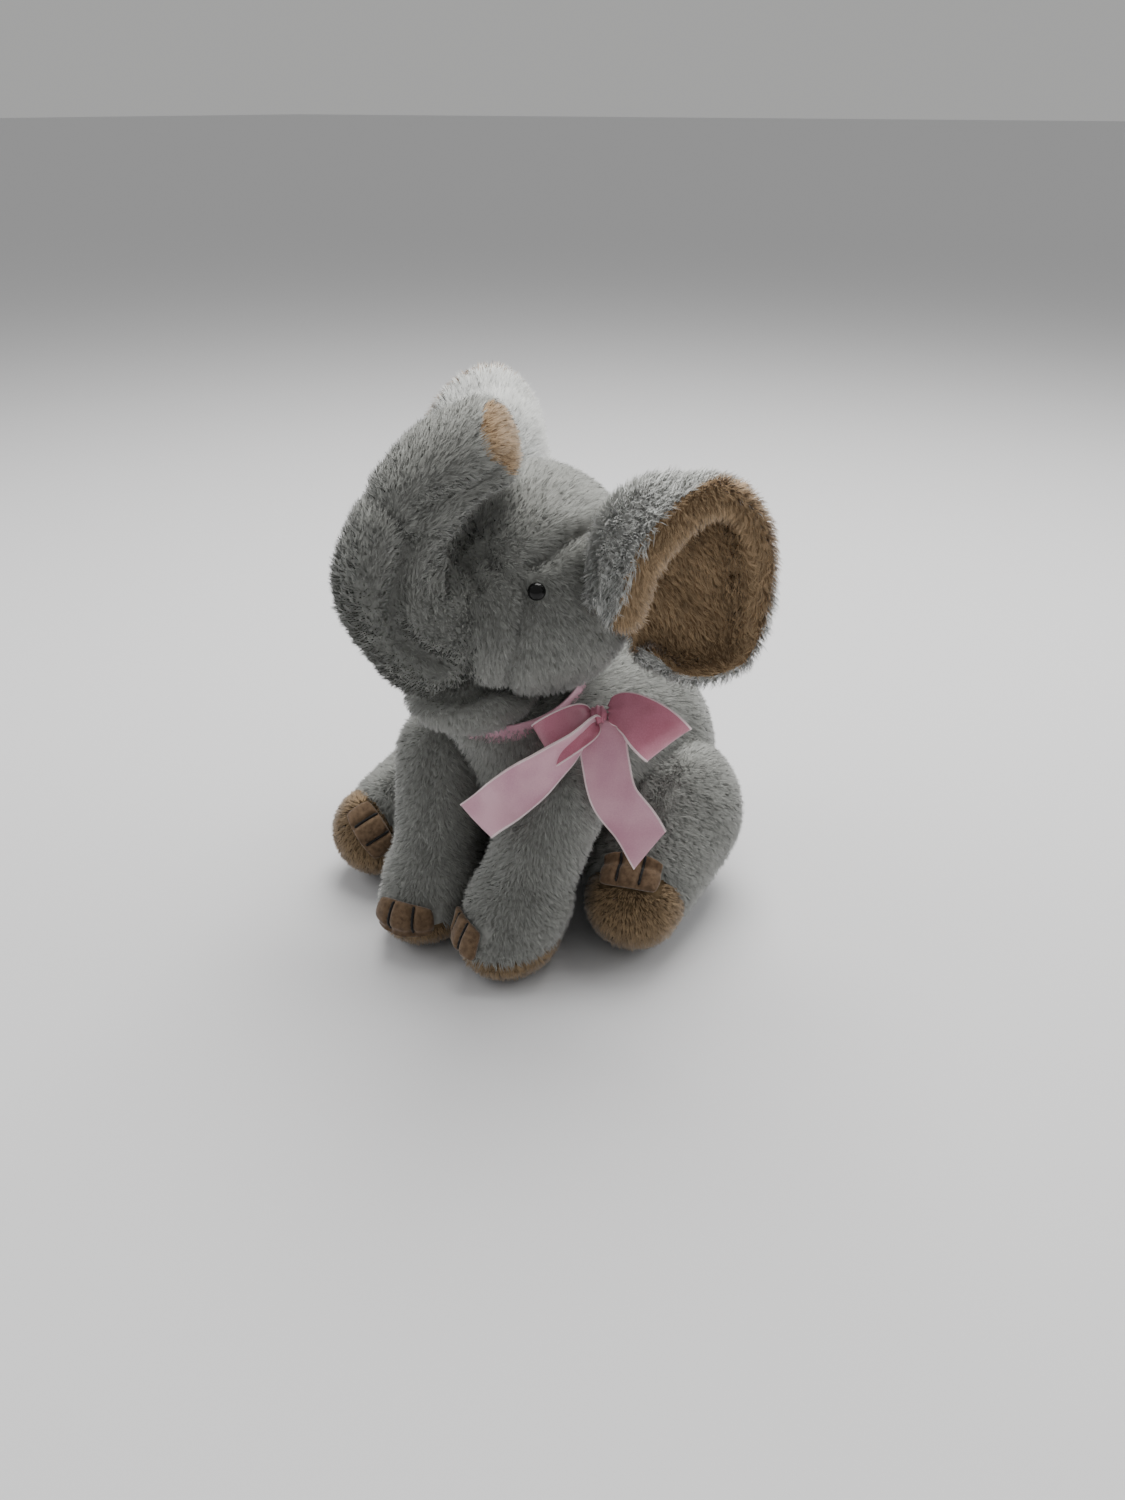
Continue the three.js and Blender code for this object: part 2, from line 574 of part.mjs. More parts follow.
function buildLegs() {
  for (const side of [1, -1]) {
    const word = side > 0 ? 'left' : 'right';
    const foot = frontFoot(side);
    const toeTurn = THREE.MathUtils.degToRad(side > 0 ? -28 : 8);
    const ahead = new THREE.Vector3(0, -1, 0).applyAxisAngle(Z, toeTurn);
    addLeg(
      `front_${word}_leg`, (grow, steps) => frontLegShape(side, grow, steps), side,
      { point: new THREE.Vector3(0, 0, FRONT_SOLE_HEIGHT), normal: Z.clone().negate() },
      {
        centre: foot.clone().addScaledVector(ahead, 28).add(new THREE.Vector3(0, 0, 3)),
        up: Z,
        across: X.clone().applyAxisAngle(Z, toeTurn),
      },
      shoulderPivot(side).add(new THREE.Vector3(-side * 24, 4, 10)),
    );
    const hip = hipPivot(side);
    const hindFoot = hindFootAt(side);
    const axis = hindFoot.clone().sub(hip).normalize();
    const across = Z.clone().cross(axis).negate().normalize();
    const up = across.clone().cross(axis).normalize();
    if (up.z < 0) up.negate();
    const lean = axis.clone().multiplyScalar(-0.75).addScaledVector(up, 0.66).normalize();
    const out = axis.clone().multiplyScalar(0.66).addScaledVector(up, 0.75).normalize();
    addLeg(
      `hind_${word}_leg`, (grow, steps) => hindLegShape(side, grow, steps), side,
      { point: hindFoot.clone().addScaledVector(axis, HIND_SOLE_DEPTH), normal: axis },
      { centre: hindFoot.clone().addScaledVector(out, 26), up: lean, across: across.multiplyScalar(side) },
      hip.clone().add(new THREE.Vector3(-side * 36, 6, 14)),
    );
  }
}

// ---- ribbon: band round the neck, knot, two loops, two tails ----
function loopGeometry(loop) {
  const out = vec(loop.direction).normalize();
  const across = vec(loop.across).addScaledVector(out, -out.dot(vec(loop.across))).normalize();
  const away = out.clone().cross(across);
  if (away.y > 0) away.negate();
  const at = (along, off) => KNOT.clone().addScaledVector(out, along * loop.length)
    .addScaledVector(away, off);
  const path = [
    at(0.17, 1.4), at(0.5, 7), at(0.88, 6), at(1, 1), at(0.9, -4.5), at(0.5, -4.5), at(0.17, -1.4),
  ];
  const pinch = (t) => THREE.MathUtils.lerp(0.3, 1, Math.sin(Math.PI * t) ** 0.8);
  return ribbonStrip(path, across, RIBBON_WIDTH, RIBBON_THICKNESS, 20, pinch);
}

function buildRibbon() {
  const knot = toSolid(ellipsoid(KNOT.toArray(), KNOT_RADII, 0, 12));
  const band = toSolid(bandRing(0)).subtract(toSolid(ellipsoid(KNOT.toArray(), KNOT_RADII, GAP, 12)));
  elephant.add(named('ribbon_band', band, COLOUR.satinPale, 0.35));
  elephant.add(named('ribbon_knot', knot, COLOUR.satinRose, 0.35));
  for (const [word, loop] of Object.entries(LOOPS)) {
    const solid = toSolid(loopGeometry(loop));
    elephant.add(named(`ribbon_loop_${word}`, solid, COLOUR.satinRose, 0.35));
  }
  for (const [word, tail] of Object.entries(RIBBON_TAILS)) {
    const pinch = (t) => THREE.MathUtils.lerp(0.3, 1, Math.min(1, t * 3));
    const path = tail.path.map(vec);
    const strip = ribbonStrip(path, vec(tail.across), RIBBON_WIDTH, RIBBON_THICKNESS, 11, pinch);
    elephant.add(named(`ribbon_tail_${word}`, toSolid(strip), COLOUR.satinPale, 0.35));
  }
}

buildTorso();
buildHead();
buildTrunk();
buildLegs();
buildRibbon();

const model = new THREE.Group();
elephant.position.copy(ORIGIN);
model.add(elephant);
export default model;
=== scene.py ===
"""Sitting plush elephant: skins, pile, felt and ribbon built on the CAD frame.

Shapes are sculpted in the toy's own millimetres (facing -Y, +Z up, its left side +X) and written
to the frame in metres. The head has its own turned frame.
"""
import bpy
import json
import math
import numpy as np
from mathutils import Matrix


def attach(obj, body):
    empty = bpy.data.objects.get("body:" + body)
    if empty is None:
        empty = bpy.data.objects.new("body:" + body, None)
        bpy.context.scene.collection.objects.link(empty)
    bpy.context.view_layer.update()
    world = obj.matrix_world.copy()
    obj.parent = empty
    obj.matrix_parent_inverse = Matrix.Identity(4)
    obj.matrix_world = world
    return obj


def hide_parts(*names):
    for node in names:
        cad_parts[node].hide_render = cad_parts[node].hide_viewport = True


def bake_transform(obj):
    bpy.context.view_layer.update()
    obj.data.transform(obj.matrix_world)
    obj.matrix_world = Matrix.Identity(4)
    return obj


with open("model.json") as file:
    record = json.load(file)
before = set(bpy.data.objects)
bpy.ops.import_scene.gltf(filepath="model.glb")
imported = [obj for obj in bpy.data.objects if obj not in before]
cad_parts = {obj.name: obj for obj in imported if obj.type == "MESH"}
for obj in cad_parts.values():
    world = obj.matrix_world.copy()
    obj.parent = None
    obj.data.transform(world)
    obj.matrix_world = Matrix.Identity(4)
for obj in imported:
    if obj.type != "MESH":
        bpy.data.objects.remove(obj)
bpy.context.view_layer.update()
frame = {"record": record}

import openvdb as vdb
from mathutils import Vector
from mathutils.kdtree import KDTree

MM = 0.001
JOINTS = {j["name"]: j for j in frame["record"]["behaviour"]["joints"]}
NECK = np.array([0.0, -15.0, 142.0])
ORIGIN = np.array(JOINTS["neck_turn"]["pos_m"]) / MM - NECK
HEAD_YAW = math.radians(-25)
HEAD_TURN = np.array([[math.cos(HEAD_YAW), -math.sin(HEAD_YAW), 0],
                      [math.sin(HEAD_YAW), math.cos(HEAD_YAW), 0],
                      [0, 0, 1]])
HEAD_SHIFT = np.array([0.0, NECK[1], 0.0])

VOXEL = 3.0            # sculpting grid, mm
INSET = 3.2            # the backing cloth lies this far inside the toy's outline; the pile fills it
FUR_SHARE = 1.0
FLOOR_CLEAR = 0.25     # nothing goes lower than this, mm


def to_row(points):
    """Toy millimetres to frame metres."""
    return (np.asarray(points, float) + ORIGIN) * MM


def from_head(points):
    """Head millimetres to toy millimetres."""
    return np.asarray(points, float) @ HEAD_TURN.T + HEAD_SHIFT


def to_head(points):
    return (np.asarray(points, float) - HEAD_SHIFT) @ HEAD_TURN


def unit(v):
    v = np.asarray(v, float)
    return v / np.maximum(np.linalg.norm(v, axis=-1, keepdims=True), 1e-9)


# ---------------------------------------------------------------- curves
def catmull(points, t):
    """Centripetal Catmull-Rom through the points, t from 0 to 1."""
    p = np.asarray(points, float)
    n = len(p)
    p = np.vstack([2 * p[0] - p[1], p, 2 * p[-1] - p[-2]])
    at = np.clip(np.atleast_1d(t), 0, 1) * (n - 1)
    i = np.minimum(at.astype(int), n - 2)
    w = (at - i)[:, None]
    p0, p1, p2, p3 = p[i], p[i + 1], p[i + 2], p[i + 3]
    gap = [np.maximum(np.sum((b - a) ** 2, axis=1) ** 0.25, 1e-4)[:, None]
           for a, b in ((p0, p1), (p1, p2), (p2, p3))]
    t1 = ((p1 - p0) / gap[0] - (p2 - p0) / (gap[0] + gap[1]) + (p2 - p1) / gap[1]) * gap[1]
    t2 = ((p2 - p1) / gap[1] - (p3 - p1) / (gap[1] + gap[2]) + (p3 - p2) / gap[2]) * gap[1]
    return (p1 + w * t1 + w ** 2 * (3 * (p2 - p1) - 2 * t1 - t2)
            + w ** 3 * (2 * (p1 - p2) + t1 + t2))


def near_line(points, line, count=40):
    """Distance from each point to a smooth line, and how far along it."""
    c = catmull(line, np.linspace(0, 1, count))
    best = np.full(len(points), 1e9)
    along = np.zeros(len(points))
    for k in range(count - 1):
        a, b = c[k], c[k + 1]
        ab = b - a
        t = np.clip((points - a) @ ab / max(ab @ ab, 1e-9), 0, 1)
        d = np.linalg.norm(points - a - t[:, None] * ab, axis=1)
        closer = d < best
        best = np.where(closer, d, best)
        along = np.where(closer, (k + t) / (count - 1), along)
    return best, along


# ---------------------------------------------------------------- distance fields, mm
def ellipsoid(p, at, radii):
    q = p - np.asarray(at, float)
    r = np.asarray(radii, float)
    k0 = np.linalg.norm(q / r, axis=1)
    k1 = np.linalg.norm(q / (r * r), axis=1)
    return np.where(k0 < 1e-6, -r.min(), k0 * (k0 - 1) / np.maximum(k1, 1e-9))


def tube(p, line, radii, count=28):
    t = np.linspace(0, 1, count)
    c = catmull(line, t) if len(line) > 2 else np.outer(1 - t, line[0]) + np.outer(t, line[1])
    r = np.interp(t, np.linspace(0, 1, len(radii)), radii)
    best = np.full(len(p), 1e9)
    for k in range(count - 1):
        ab = c[k + 1] - c[k]
        s = np.clip((p - c[k]) @ ab / max(ab @ ab, 1e-9), 0, 1)
        d = np.linalg.norm(p - c[k] - s[:, None] * ab, axis=1) - (r[k] + s * (r[k + 1] - r[k]))
        best = np.minimum(best, d)
    return best


def merge(a, b, k):
    h = np.maximum(k - np.abs(a - b), 0) / k
    return np.minimum(a, b) - h * h * k / 4


def cut(a, b, k):
    return -merge(-a, -b, k)


def flat_base(p, d, soft=9.0):
    return cut(d, FLOOR_CLEAR - INSET - p[:, 2], soft)


def mirror(p):
    """Every point moved to the left half, so that one line serves both sides."""
    return p * [0, 1, 1] + np.abs(p[:, :1]) * [1, 0, 0]


def seam(p, line, depth=3.0, width=4.5):
    d, _ = near_line(p, line)
    return depth * np.exp(-(d / width) ** 2)


# ---------------------------------------------------------------- the toy's masses, mm
TORSO = [([0, 62, 70], [76, 68, 73]), ([0, 22, 99], [61, 60, 50]), ([0, -4, 122], [47, 45, 26])]
HEAD = [([0, 14, 200], [57, 52, 55]), ([22, 4, 182], [37, 48, 38]), ([-22, 4, 182], [37, 48, 38]),
        ([0, -24, 186], [40, 34, 34])]
JAW = ([4, -25, 145], [34, 37, 22])
TRUNK_LOWER = [[3, -44, 183], [7, -68, 211], [10, -64, 233]]
TRUNK_LOWER_RADII = [36.5, 27, 24]
TRUNK_END = [[11, -54, 248], [13, -39, 263], [16, -20, 271]]
TRUNK_END_RADII = [23.5, 23, 22.5]
TIP_AXIS = [0.72, 0.62, 0.31]
TIP_FACE = 14.0        # how far past its last ring the trunk is cut off flat
SHOULDER = [39, -26, 93]
HIP = [57, 49, 51]
FRONT_FEET = {"left": [28, -60], "right": [-24, -60]}
HIND_FEET = {"left": [75, -9], "right": [-87, -32]}
SIDES = {"left": 1, "right": -1}


# Sewn seams and soft creases: a smooth line, how deep it is drawn in and how wide, all mm.
SEAM_DEPTH = 5.0       # the seams' middle lies this far inside the toy's outline
EYE_CORNER = [37, -17, 211]
GUSSET = [[24, -25, 225], [30, -23, 218], [35, -20, 213], EYE_CORNER, [42, -11, 219], [46, -3, 224],
          [45, 8, 230], [42, 27, 232]]
MUZZLE_SEAM = [EYE_CORNER, [43, -15, 211], [50, -17, 202], [50, -21, 189], [51, -22, 182],
               [47, -24, 170], [36, -18, 156]]
MOUTH = [[30, 10, 147], [30, -12, 148], [29, -20, 152], [29, -29, 151], [28, -42, 149],
         [21, -52, 149], [11, -61, 145], [0, -63, 145]]
PINCH = [[20, -34, 220], [27, -34, 215], [33, -34, 211]]
TRUNK_SIDE = [[32, -60, 248], [30, -65, 239], [30, -70, 226], [29, -74, 212], [28, -75, 198],
              [28, -72, 188], [30, -63, 179], [32, -53, 173]]
TRUNK_PINCH = [[18, -37, 219], [25, -40, 214], [31, -43, 208]]
TRUNK_FOLD_LINE = [[34, -12, 264], [34, -19, 262], [33, -27, 257], [33, -37, 253],
                   [34, -49, 251], [32, -60, 248]]


def sink(line, axis, by=SEAM_DEPTH):
    """Moves a line on the outline inwards, towards the nearest points of an axis."""
    line, axis = np.asarray(line, float), np.asarray(axis, float)
    t = np.linspace(0, 1, 30)
    fine = catmull(axis, t) if len(axis) > 2 else np.outer(1 - t, axis[0]) + np.outer(t, axis[1])
    out = []
    for p in line:
        core = fine[np.argmin(np.linalg.norm(fine - p, axis=1))]
        out.append(p + by * unit(core - p))
    return out


HEAD_CORE = [[0, -30, 186], [0, 14, 200]]
HEAD_SEAMS = [(sink(GUSSET, HEAD_CORE), 4.5, 3.6), (sink(MUZZLE_SEAM, HEAD_CORE), 4.0, 3.4),
              (sink(MOUTH, HEAD_CORE), 6.0, 4.4), (sink(PINCH, HEAD_CORE), 3.5, 2.6)]
TRUNK_CREASES = [(sink(TRUNK_SIDE, TRUNK_LOWER), 8.0, 6.0), (sink(TRUNK_PINCH, TRUNK_LOWER), 4.0, 2.8)]
TRUNK_FOLD = sink(TRUNK_FOLD_LINE, TRUNK_END)
HAUNCH_CREASE = sink([[66, 62, 104], [70, 35, 93], [71, 15, 84], [77, 1, 74]],
                     [HIP, [75, -9, 29]])
ARM_SEAM = sink([[-30, -43, 112], [-27, -54, 91], [-23, -62, 72], [-18, -73, 48]],
                [[-39, -26, 93], [-25, -53, 34]])


def head_creases(p):
    """Distance to the nearest sewn line of the head."""
    q = mirror(to_head(p))
    return np.min([near_line(q, line)[0] for line, _, _ in HEAD_SEAMS], axis=0)


def trunk_creases(p):
    q = trunk_mirror(to_head(p))
    return np.min([near_line(q, line)[0] for line, _, _ in TRUNK_CREASES], axis=0)


def torso_field(p):
    d = ellipsoid(p, *TORSO[0])
    d = merge(d, ellipsoid(p, *TORSO[1]), 16)
    d = merge(d, ellipsoid(p, *TORSO[2]), 14)
    d += seam(p, [[0, 126, 95], [0, 110, 128], [0, 70, 146], [0, 40, 150]], 2.0)
    d += seam(mirror(p), HAUNCH_CREASE, 3.0, 5.0)
    return flat_base(p, d)


def head_field(p):
    q = to_head(p)
    d = ellipsoid(q, *HEAD[0])
    for at, radii in HEAD[1:]:
        d = merge(d, ellipsoid(q, at, radii), 14)
    jaw = ellipsoid(q, *JAW)
    d = np.minimum(d, jaw)
    mirrored = mirror(q)
    for line, depth, width in HEAD_SEAMS:
        d += seam(mirrored, line, depth, width)
    for s in (1, -1):
        d += 1.2 * np.exp(-(np.linalg.norm(q - eye_at(s), axis=1) / 9) ** 2)
    return d


def near_axis(q):
    """The trunk's middle drifts sideways as it rises."""
    return np.interp(q[:, 2], [183, 212, 235], [3, 7, 10])


def trunk_mirror(q):
    middle = near_axis(q)
    out = q.copy()
    out[:, 0] = middle + np.abs(q[:, 0] - middle)
    return out


def trunk_lower_field(p):
    q = to_head(p)
    d = tube(q, TRUNK_LOWER, TRUNK_LOWER_RADII)
    flipped = trunk_mirror(q)
    for line, depth, width in TRUNK_CREASES:
        d += seam(flipped, line, depth, width)
    return d


def trunk_end_field(p):
    q = to_head(p)
    d = tube(q, TRUNK_END, TRUNK_END_RADII)
    d += seam(q, TRUNK_FOLD, 7.0, 5.5)
    face = (q - np.array(TRUNK_END[2])) @ unit(TIP_AXIS) - TIP_FACE
    return cut(d, face, 7)


FRONT_SOLE = 19.0      # the tan sole's seam above the floor
HIND_SOLE = -1.0       # the tan sole's seam ahead of the middle of the hind foot
TOE_PANEL = (34.0, 17.0)
TOE_SPACING = 11.0
STITCH_STEPS = 22
PANEL_TURN = {"left": 0, "right": 48}          # how far round the leg the hind toe panels sit, degrees
PANEL_AHEAD = {"left": 0.12, "right": 0.42}    # how far down towards the sole they reach


def eye_at(s):
    return np.array([s * 48.6, -12.0, 209.0])


def eye_out(s):
    return unit(np.array([s * 0.83, -0.53, 0.165]))


def hind_axis(side):
    hip = np.array([SIDES[side] * HIP[0], HIP[1], HIP[2]], float)
    return unit(np.array([*HIND_FEET[side], 29.0]) - hip)


def hind_sole(side, p):
    """How far a point lies ahead of the hind sole's seam."""
    return (p - np.array([*HIND_FEET[side], 29.0])) @ hind_axis(side) - HIND_SOLE


def turned(degrees, v):
    a = math.radians(degrees)
    return np.array([math.cos(a) * v[0] - math.sin(a) * v[1],
                     math.sin(a) * v[0] + math.cos(a) * v[1], v[2]])


def toe_frame(pair, side):
    """Middle, up, across and outward directions of a foot's toe panel."""
    s = SIDES[side]
    if pair == "front":
        turn = -28 if s > 0 else 8
        ahead, across = turned(turn, [0, -1, 0]), turned(turn, [1, 0, 0])
        foot = np.array([*FRONT_FEET[side], 20.0])
        high = 9 if s > 0 else 5
        return foot + 26 * ahead + [0, 0, high], np.array([0, 0, 1.0]), across, ahead, foot
    axis = hind_axis(side)
    foot = np.array([*HIND_FEET[side], 29.0])
    across = unit(-np.cross([0, 0, 1], axis))
    up = unit(np.cross(across, axis))
    up = up if up[2] > 0 else -up
    inward = np.cross(axis, up)
    inward = inward if inward[0] * s < 0 else -inward
    turn = math.radians(PANEL_TURN[side])
    up = math.cos(turn) * up + math.sin(turn) * inward
    across = unit(np.cross(axis, up))
    across = across if across[0] * s > 0 else -across
    ahead = PANEL_AHEAD[side]
    out = unit(ahead * axis + up)
    return (foot + 26 * out, unit(-axis + ahead * up), across, out, foot)


def front_leg_field(side):
    x, y = FRONT_FEET[side]
    s = SIDES[side]

    def field(p):
        upper = tube(p, [[s * SHOULDER[0], SHOULDER[1], SHOULDER[2]], [x + s, y + 7, 34]], [27, 24.5])
        foot = ellipsoid(p, [x + 1.5 * s, y, 20], [27.5, 33, 24])
        ankle_roll = ellipsoid(p, [x + 2.5 * s, y + 6, 37], [29, 27, 20])
        d = merge(merge(upper, foot, 10), ankle_roll, 8)
        d += 2.0 * np.exp(-((p[:, 2] - FRONT_SOLE) / 2.6) ** 2)
        d += seam(p * [-s, 1, 1] - [24 - abs(x), y + 60, 0], ARM_SEAM, 2.4, 3.2)
        ankle = [[x + 27 * math.cos(a), y + 8 + 27 * math.sin(a), 43 + 3 * math.sin(2 * a)]
                 for a in np.radians(np.linspace(190, 350, 9))]
        d += seam(p, ankle, 1.5, 5.0)
        return flat_base(p, d, 6)
    return field


def hind_leg_field(side):
    x, y = HIND_FEET[side]
    s = SIDES[side]

    def field(p):
        d = tube(p, [[s * HIP[0], HIP[1], HIP[2]], [x, y, 29]], [47, 28.5])
        d += 2.0 * np.exp(-(hind_sole(side, p) / 2.8) ** 2)
        d += seam(p * [s, 1, 1], HAUNCH_CREASE, 3.0, 5.0)
        return flat_base(p, d, 8)
    return field


def tail_field(p):
    return tube(p, [[0, 119, 54], [0, 141, 48], [2, 151, 32]], [9, 7, 6])


# ---------------------------------------------------------------- meshes
def add_mesh(name, verts, faces, smooth=True):
    mesh = bpy.data.meshes.new(name)
    mesh.from_pydata([tuple(v) for v in verts], [], [tuple(f) for f in faces])
    mesh.update()
    if smooth:
        mesh.polygons.foreach_set("use_smooth", [True] * len(mesh.polygons))
    obj = bpy.data.objects.new(name, mesh)
    bpy.context.scene.collection.objects.link(obj)
    return obj


def sculpt(name, field, low, high, voxel=VOXEL, inset=INSET):
    """A closed quad skin, inset from where the field is zero, in the box low..high (toy mm)."""
    low, high = np.asarray(low, float), np.asarray(high, float)
    count = np.ceil((high - low) / voxel).astype(int) + 1
    axes = [low[i] + voxel * np.arange(count[i]) for i in range(3)]
    p = np.stack(np.meshgrid(*axes, indexing="ij"), axis=-1).reshape(-1, 3)
    grid = vdb.FloatGrid(50.0)
    grid.copyFromArray((field(p) + inset).reshape(count).astype(np.float32))
    points, quads = grid.convertToQuads(isovalue=0.0)
    verts = points * voxel + low
    quads = quads.astype(int)
    if signed_volume(verts, quads) < 0:
        quads = quads[:, ::-1]
    return add_mesh(name, to_row(verts), quads)


def signed_volume(verts, quads):
    a, b, c, d = (verts[quads[:, i]] for i in range(4))
    return np.sum(np.cross(a, b) * c) / 6 + np.sum(np.cross(a, c) * d) / 6


def coords(obj):
    out = np.empty(len(obj.data.vertices) * 3)
    obj.data.vertices.foreach_get("co", out)
    return out.reshape(-1, 3)


def set_coords(obj, co):
    obj.data.vertices.foreach_set("co", np.asarray(co, float).ravel())
    obj.data.update()


def toy_coords(obj):
    return coords(obj) / MM - ORIGIN


def normals(obj):
    out = np.empty(len(obj.data.vertices) * 3)
    obj.data.vertex_normals.foreach_get("vector", out)
    return out.reshape(-1, 3)


def bake_modifier(obj):
    evaluated = obj.evaluated_get(bpy.context.evaluated_depsgraph_get())
    mesh = bpy.data.meshes.new_from_object(evaluated)
    obj.modifiers.clear()
    old = obj.data
    obj.data = mesh
    bpy.data.meshes.remove(old)


def subdivide(obj, levels=1):
    mod = obj.modifiers.new("smooth", "SUBSURF")
    mod.levels = levels
    mod.render_levels = levels
    bake_modifier(obj)


# ---------------------------------------------------------------- pile
TONES = 4
WILD = 0.14            # how far single strands stray from their tuft
CREASE_REACH = 3.4     # pile this near to a sewn line is short, and its tone is darkened there as painted shade, mm
BASE_LEAN = 0.62       # a strand leans this share of its full lean at its root
ROOT_DEPTH = 0.6       # strands start this far inside the cloth, mm


def hash_cells(points, size, seed):
    """A repeatable random vector and the middle of the cell that each point is in."""
    cell = np.floor(points / size).astype(np.int64)
    key = (cell[:, 0] * 73856093) ^ (cell[:, 1] * 19349663) ^ (cell[:, 2] * 83492791) ^ seed
    rolls = []
    for k in range(4):
        key = (key * 6364136223846793005 + 1442695040888963407 + k) & 0x7FFFFFFFFFFFFFFF
        rolls.append(((key >> 33) & 0xFFFFF) / 0xFFFFF)
    return np.stack(rolls, axis=1) * 2 - 1, (cell + 0.5) * size


def scatter(obj, density, rng):
    """Random points on a skin: place, normal (toy mm)."""
    mesh = obj.data
    mesh.calc_loop_triangles()
    tri = np.empty(len(mesh.loop_triangles) * 3, dtype=np.int32)
    mesh.loop_triangles.foreach_get("vertices", tri)
    tri = tri.reshape(-1, 3)
    co, no = toy_coords(obj), normals(obj)
    a, b, c = co[tri[:, 0]], co[tri[:, 1]], co[tri[:, 2]]
    area = np.linalg.norm(np.cross(b - a, c - a), axis=1) / 2
    count = int(area.sum() * density)
    pick = rng.choice(len(tri), size=count, p=area / area.sum())
    u, v = rng.random(count), rng.random(count)
    over = u + v > 1
    u[over], v[over] = 1 - u[over], 1 - v[over]
    w = 1 - u - v
    t = tri[pick]
    place = w[:, None] * co[t[:, 0]] + u[:, None] * co[t[:, 1]] + v[:, None] * co[t[:, 2]]
    normal = w[:, None] * no[t[:, 0]] + u[:, None] * no[t[:, 1]] + v[:, None] * no[t[:, 2]]
    return place, unit(normal)


def grow_pile(name, skin, flow, tones, seed, length=4.8, width=0.40, density=2.0, lean=54,
              clump=2.2, keep=None, creases=None):
    """Tapered strands over a skin, leaning along flow and drawn together in small tufts."""
    rng = np.random.default_rng(seed)
    root, normal = scatter(skin, density * FUR_SHARE, rng)
    if keep is not None:
        chosen = keep(root, normal)
        root, normal = root[chosen], normal[chosen]
    count = len(root)
    if FUR_SHARE < 1:
        width = width / math.sqrt(FUR_SHARE)
    way = flow(root, normal)
    way = unit(way - np.sum(way * normal, axis=1, keepdims=True) * normal)
    roll, centre = hash_cells(root, clump, seed)
    size = length * (0.75 + 0.35 * rng.random(count) + 0.15 * roll[:, 3])
    # sunk is how near a sewn line the root is: it shortens the pile there and, through tuft_tone,
    # darkens it as painted shade in the crease
    sunk = np.zeros(count) if creases is None else np.exp(-(creases(root) / CREASE_REACH) ** 2)
    size *= 1 - 0.5 * sunk
    angle = np.radians(lean + 14 * roll[:, 2] + rng.normal(0, 7, count))
    stray = 0.30 * roll[:, :3] + WILD * rng.normal(0, 1, (count, 3))
    rise = angle * BASE_LEAN
    base = unit(normal * np.cos(rise)[:, None] + way * np.sin(rise)[:, None] + 0.5 * stray)
    tipward = unit(normal * np.cos(angle)[:, None] + way * np.sin(angle)[:, None] + stray)
    gather = centre - root
    gather -= np.sum(gather * normal, axis=1, keepdims=True) * normal
    middle = root + base * (size * 0.5)[:, None] + 0.2 * gather
    tip = middle + tipward * (size * 0.5)[:, None] + 0.35 * gather
    start = root - normal * ROOT_DEPTH
    side = unit(np.cross(unit(tip - start), normal) + 0.35 * rng.normal(0, 1, (count, 3)))
    half = (width / 2) * (0.7 + 0.6 * rng.random(count))[:, None] * side
    verts = np.stack([start - half, start + half, middle + 0.8 * half, middle - 0.8 * half, tip], axis=1)
    verts[:, :, 2] = np.maximum(verts[:, :, 2], FLOOR_CLEAR)
    facing = np.sum(np.cross(verts[:, 1] - verts[:, 0], verts[:, 2] - verts[:, 0]) * normal, axis=1)
    wrong = facing < 0
    verts[wrong] = verts[wrong][:, [1, 0, 3, 2, 4]]
    tone = tuft_tone(roll, sunk, rng)
    obj = strand_mesh(name, to_row(verts.reshape(-1, 3)), tone, normal, tipward)
    for material in tones:
        obj.data.materials.append(material)
    return obj


def tuft_tone(roll, sunk, rng):
    """Mostly middle tones, with tufts that run lighter or darker together, and painted shade darkening
    the pile along sewn lines.
    """
    # the pile near a sewn line drops to darker tones: painted shade in the crease
    value = 0.45 * roll[:, 0] + 0.2 * roll[:, 1] + rng.normal(0, 0.42, len(roll)) - 1.0 * sunk
    return np.clip(np.round((value + 0.9) * 1.4), 0, TONES - 1).astype(int)


def strand_mesh(name, verts, tone, normal, tipward):
    count = len(tone)
    first = np.arange(count)[:, None] * 5
    loops = np.concatenate([first + [0, 1, 2, 3], first + [3, 2, 4]], axis=1).ravel()
    mesh = bpy.data.meshes.new(name)
    mesh.vertices.add(count * 5)
    mesh.vertices.foreach_set("co", verts.ravel())
    mesh.loops.add(len(loops))
    mesh.loops.foreach_set("vertex_index", loops.astype(np.int32))
    mesh.polygons.add(count * 2)
    starts = (np.arange(count)[:, None] * 7 + [0, 4]).ravel()
    mesh.polygons.foreach_set("loop_start", starts.astype(np.int32))
    mesh.polygons.foreach_set("material_index", np.repeat(tone, 2).astype(np.int32))
    mesh.polygons.foreach_set("use_smooth", np.ones(count * 2, dtype=bool))
    mesh.update(calc_edges=True)
    mesh.validate()
    shade = unit(normal + 0.3 * tipward)
    mesh.normals_split_custom_set_from_vertices(np.repeat(shade, 5, axis=0).tolist())
    obj = bpy.data.objects.new(name, mesh)
    bpy.context.scene.collection.objects.link(obj)
    return obj


# ---------------------------------------------------------------- materials
def new_material(name, roughness, sheen=0.0, sheen_tint=(1, 1, 1, 1)):
    material = bpy.data.materials.new(name)
    material.use_nodes = True
    shader = material.node_tree.nodes["Principled BSDF"]
    shader.inputs["Roughness"].default_value = roughness
    shader.inputs["Sheen Weight"].default_value = sheen
    shader.inputs["Sheen Roughness"].default_value = 0.4
    shader.inputs["Sheen Tint"].default_value = sheen_tint
    shader.inputs["Specular IOR Level"].default_value = 0.25
    return material, material.node_tree, shader


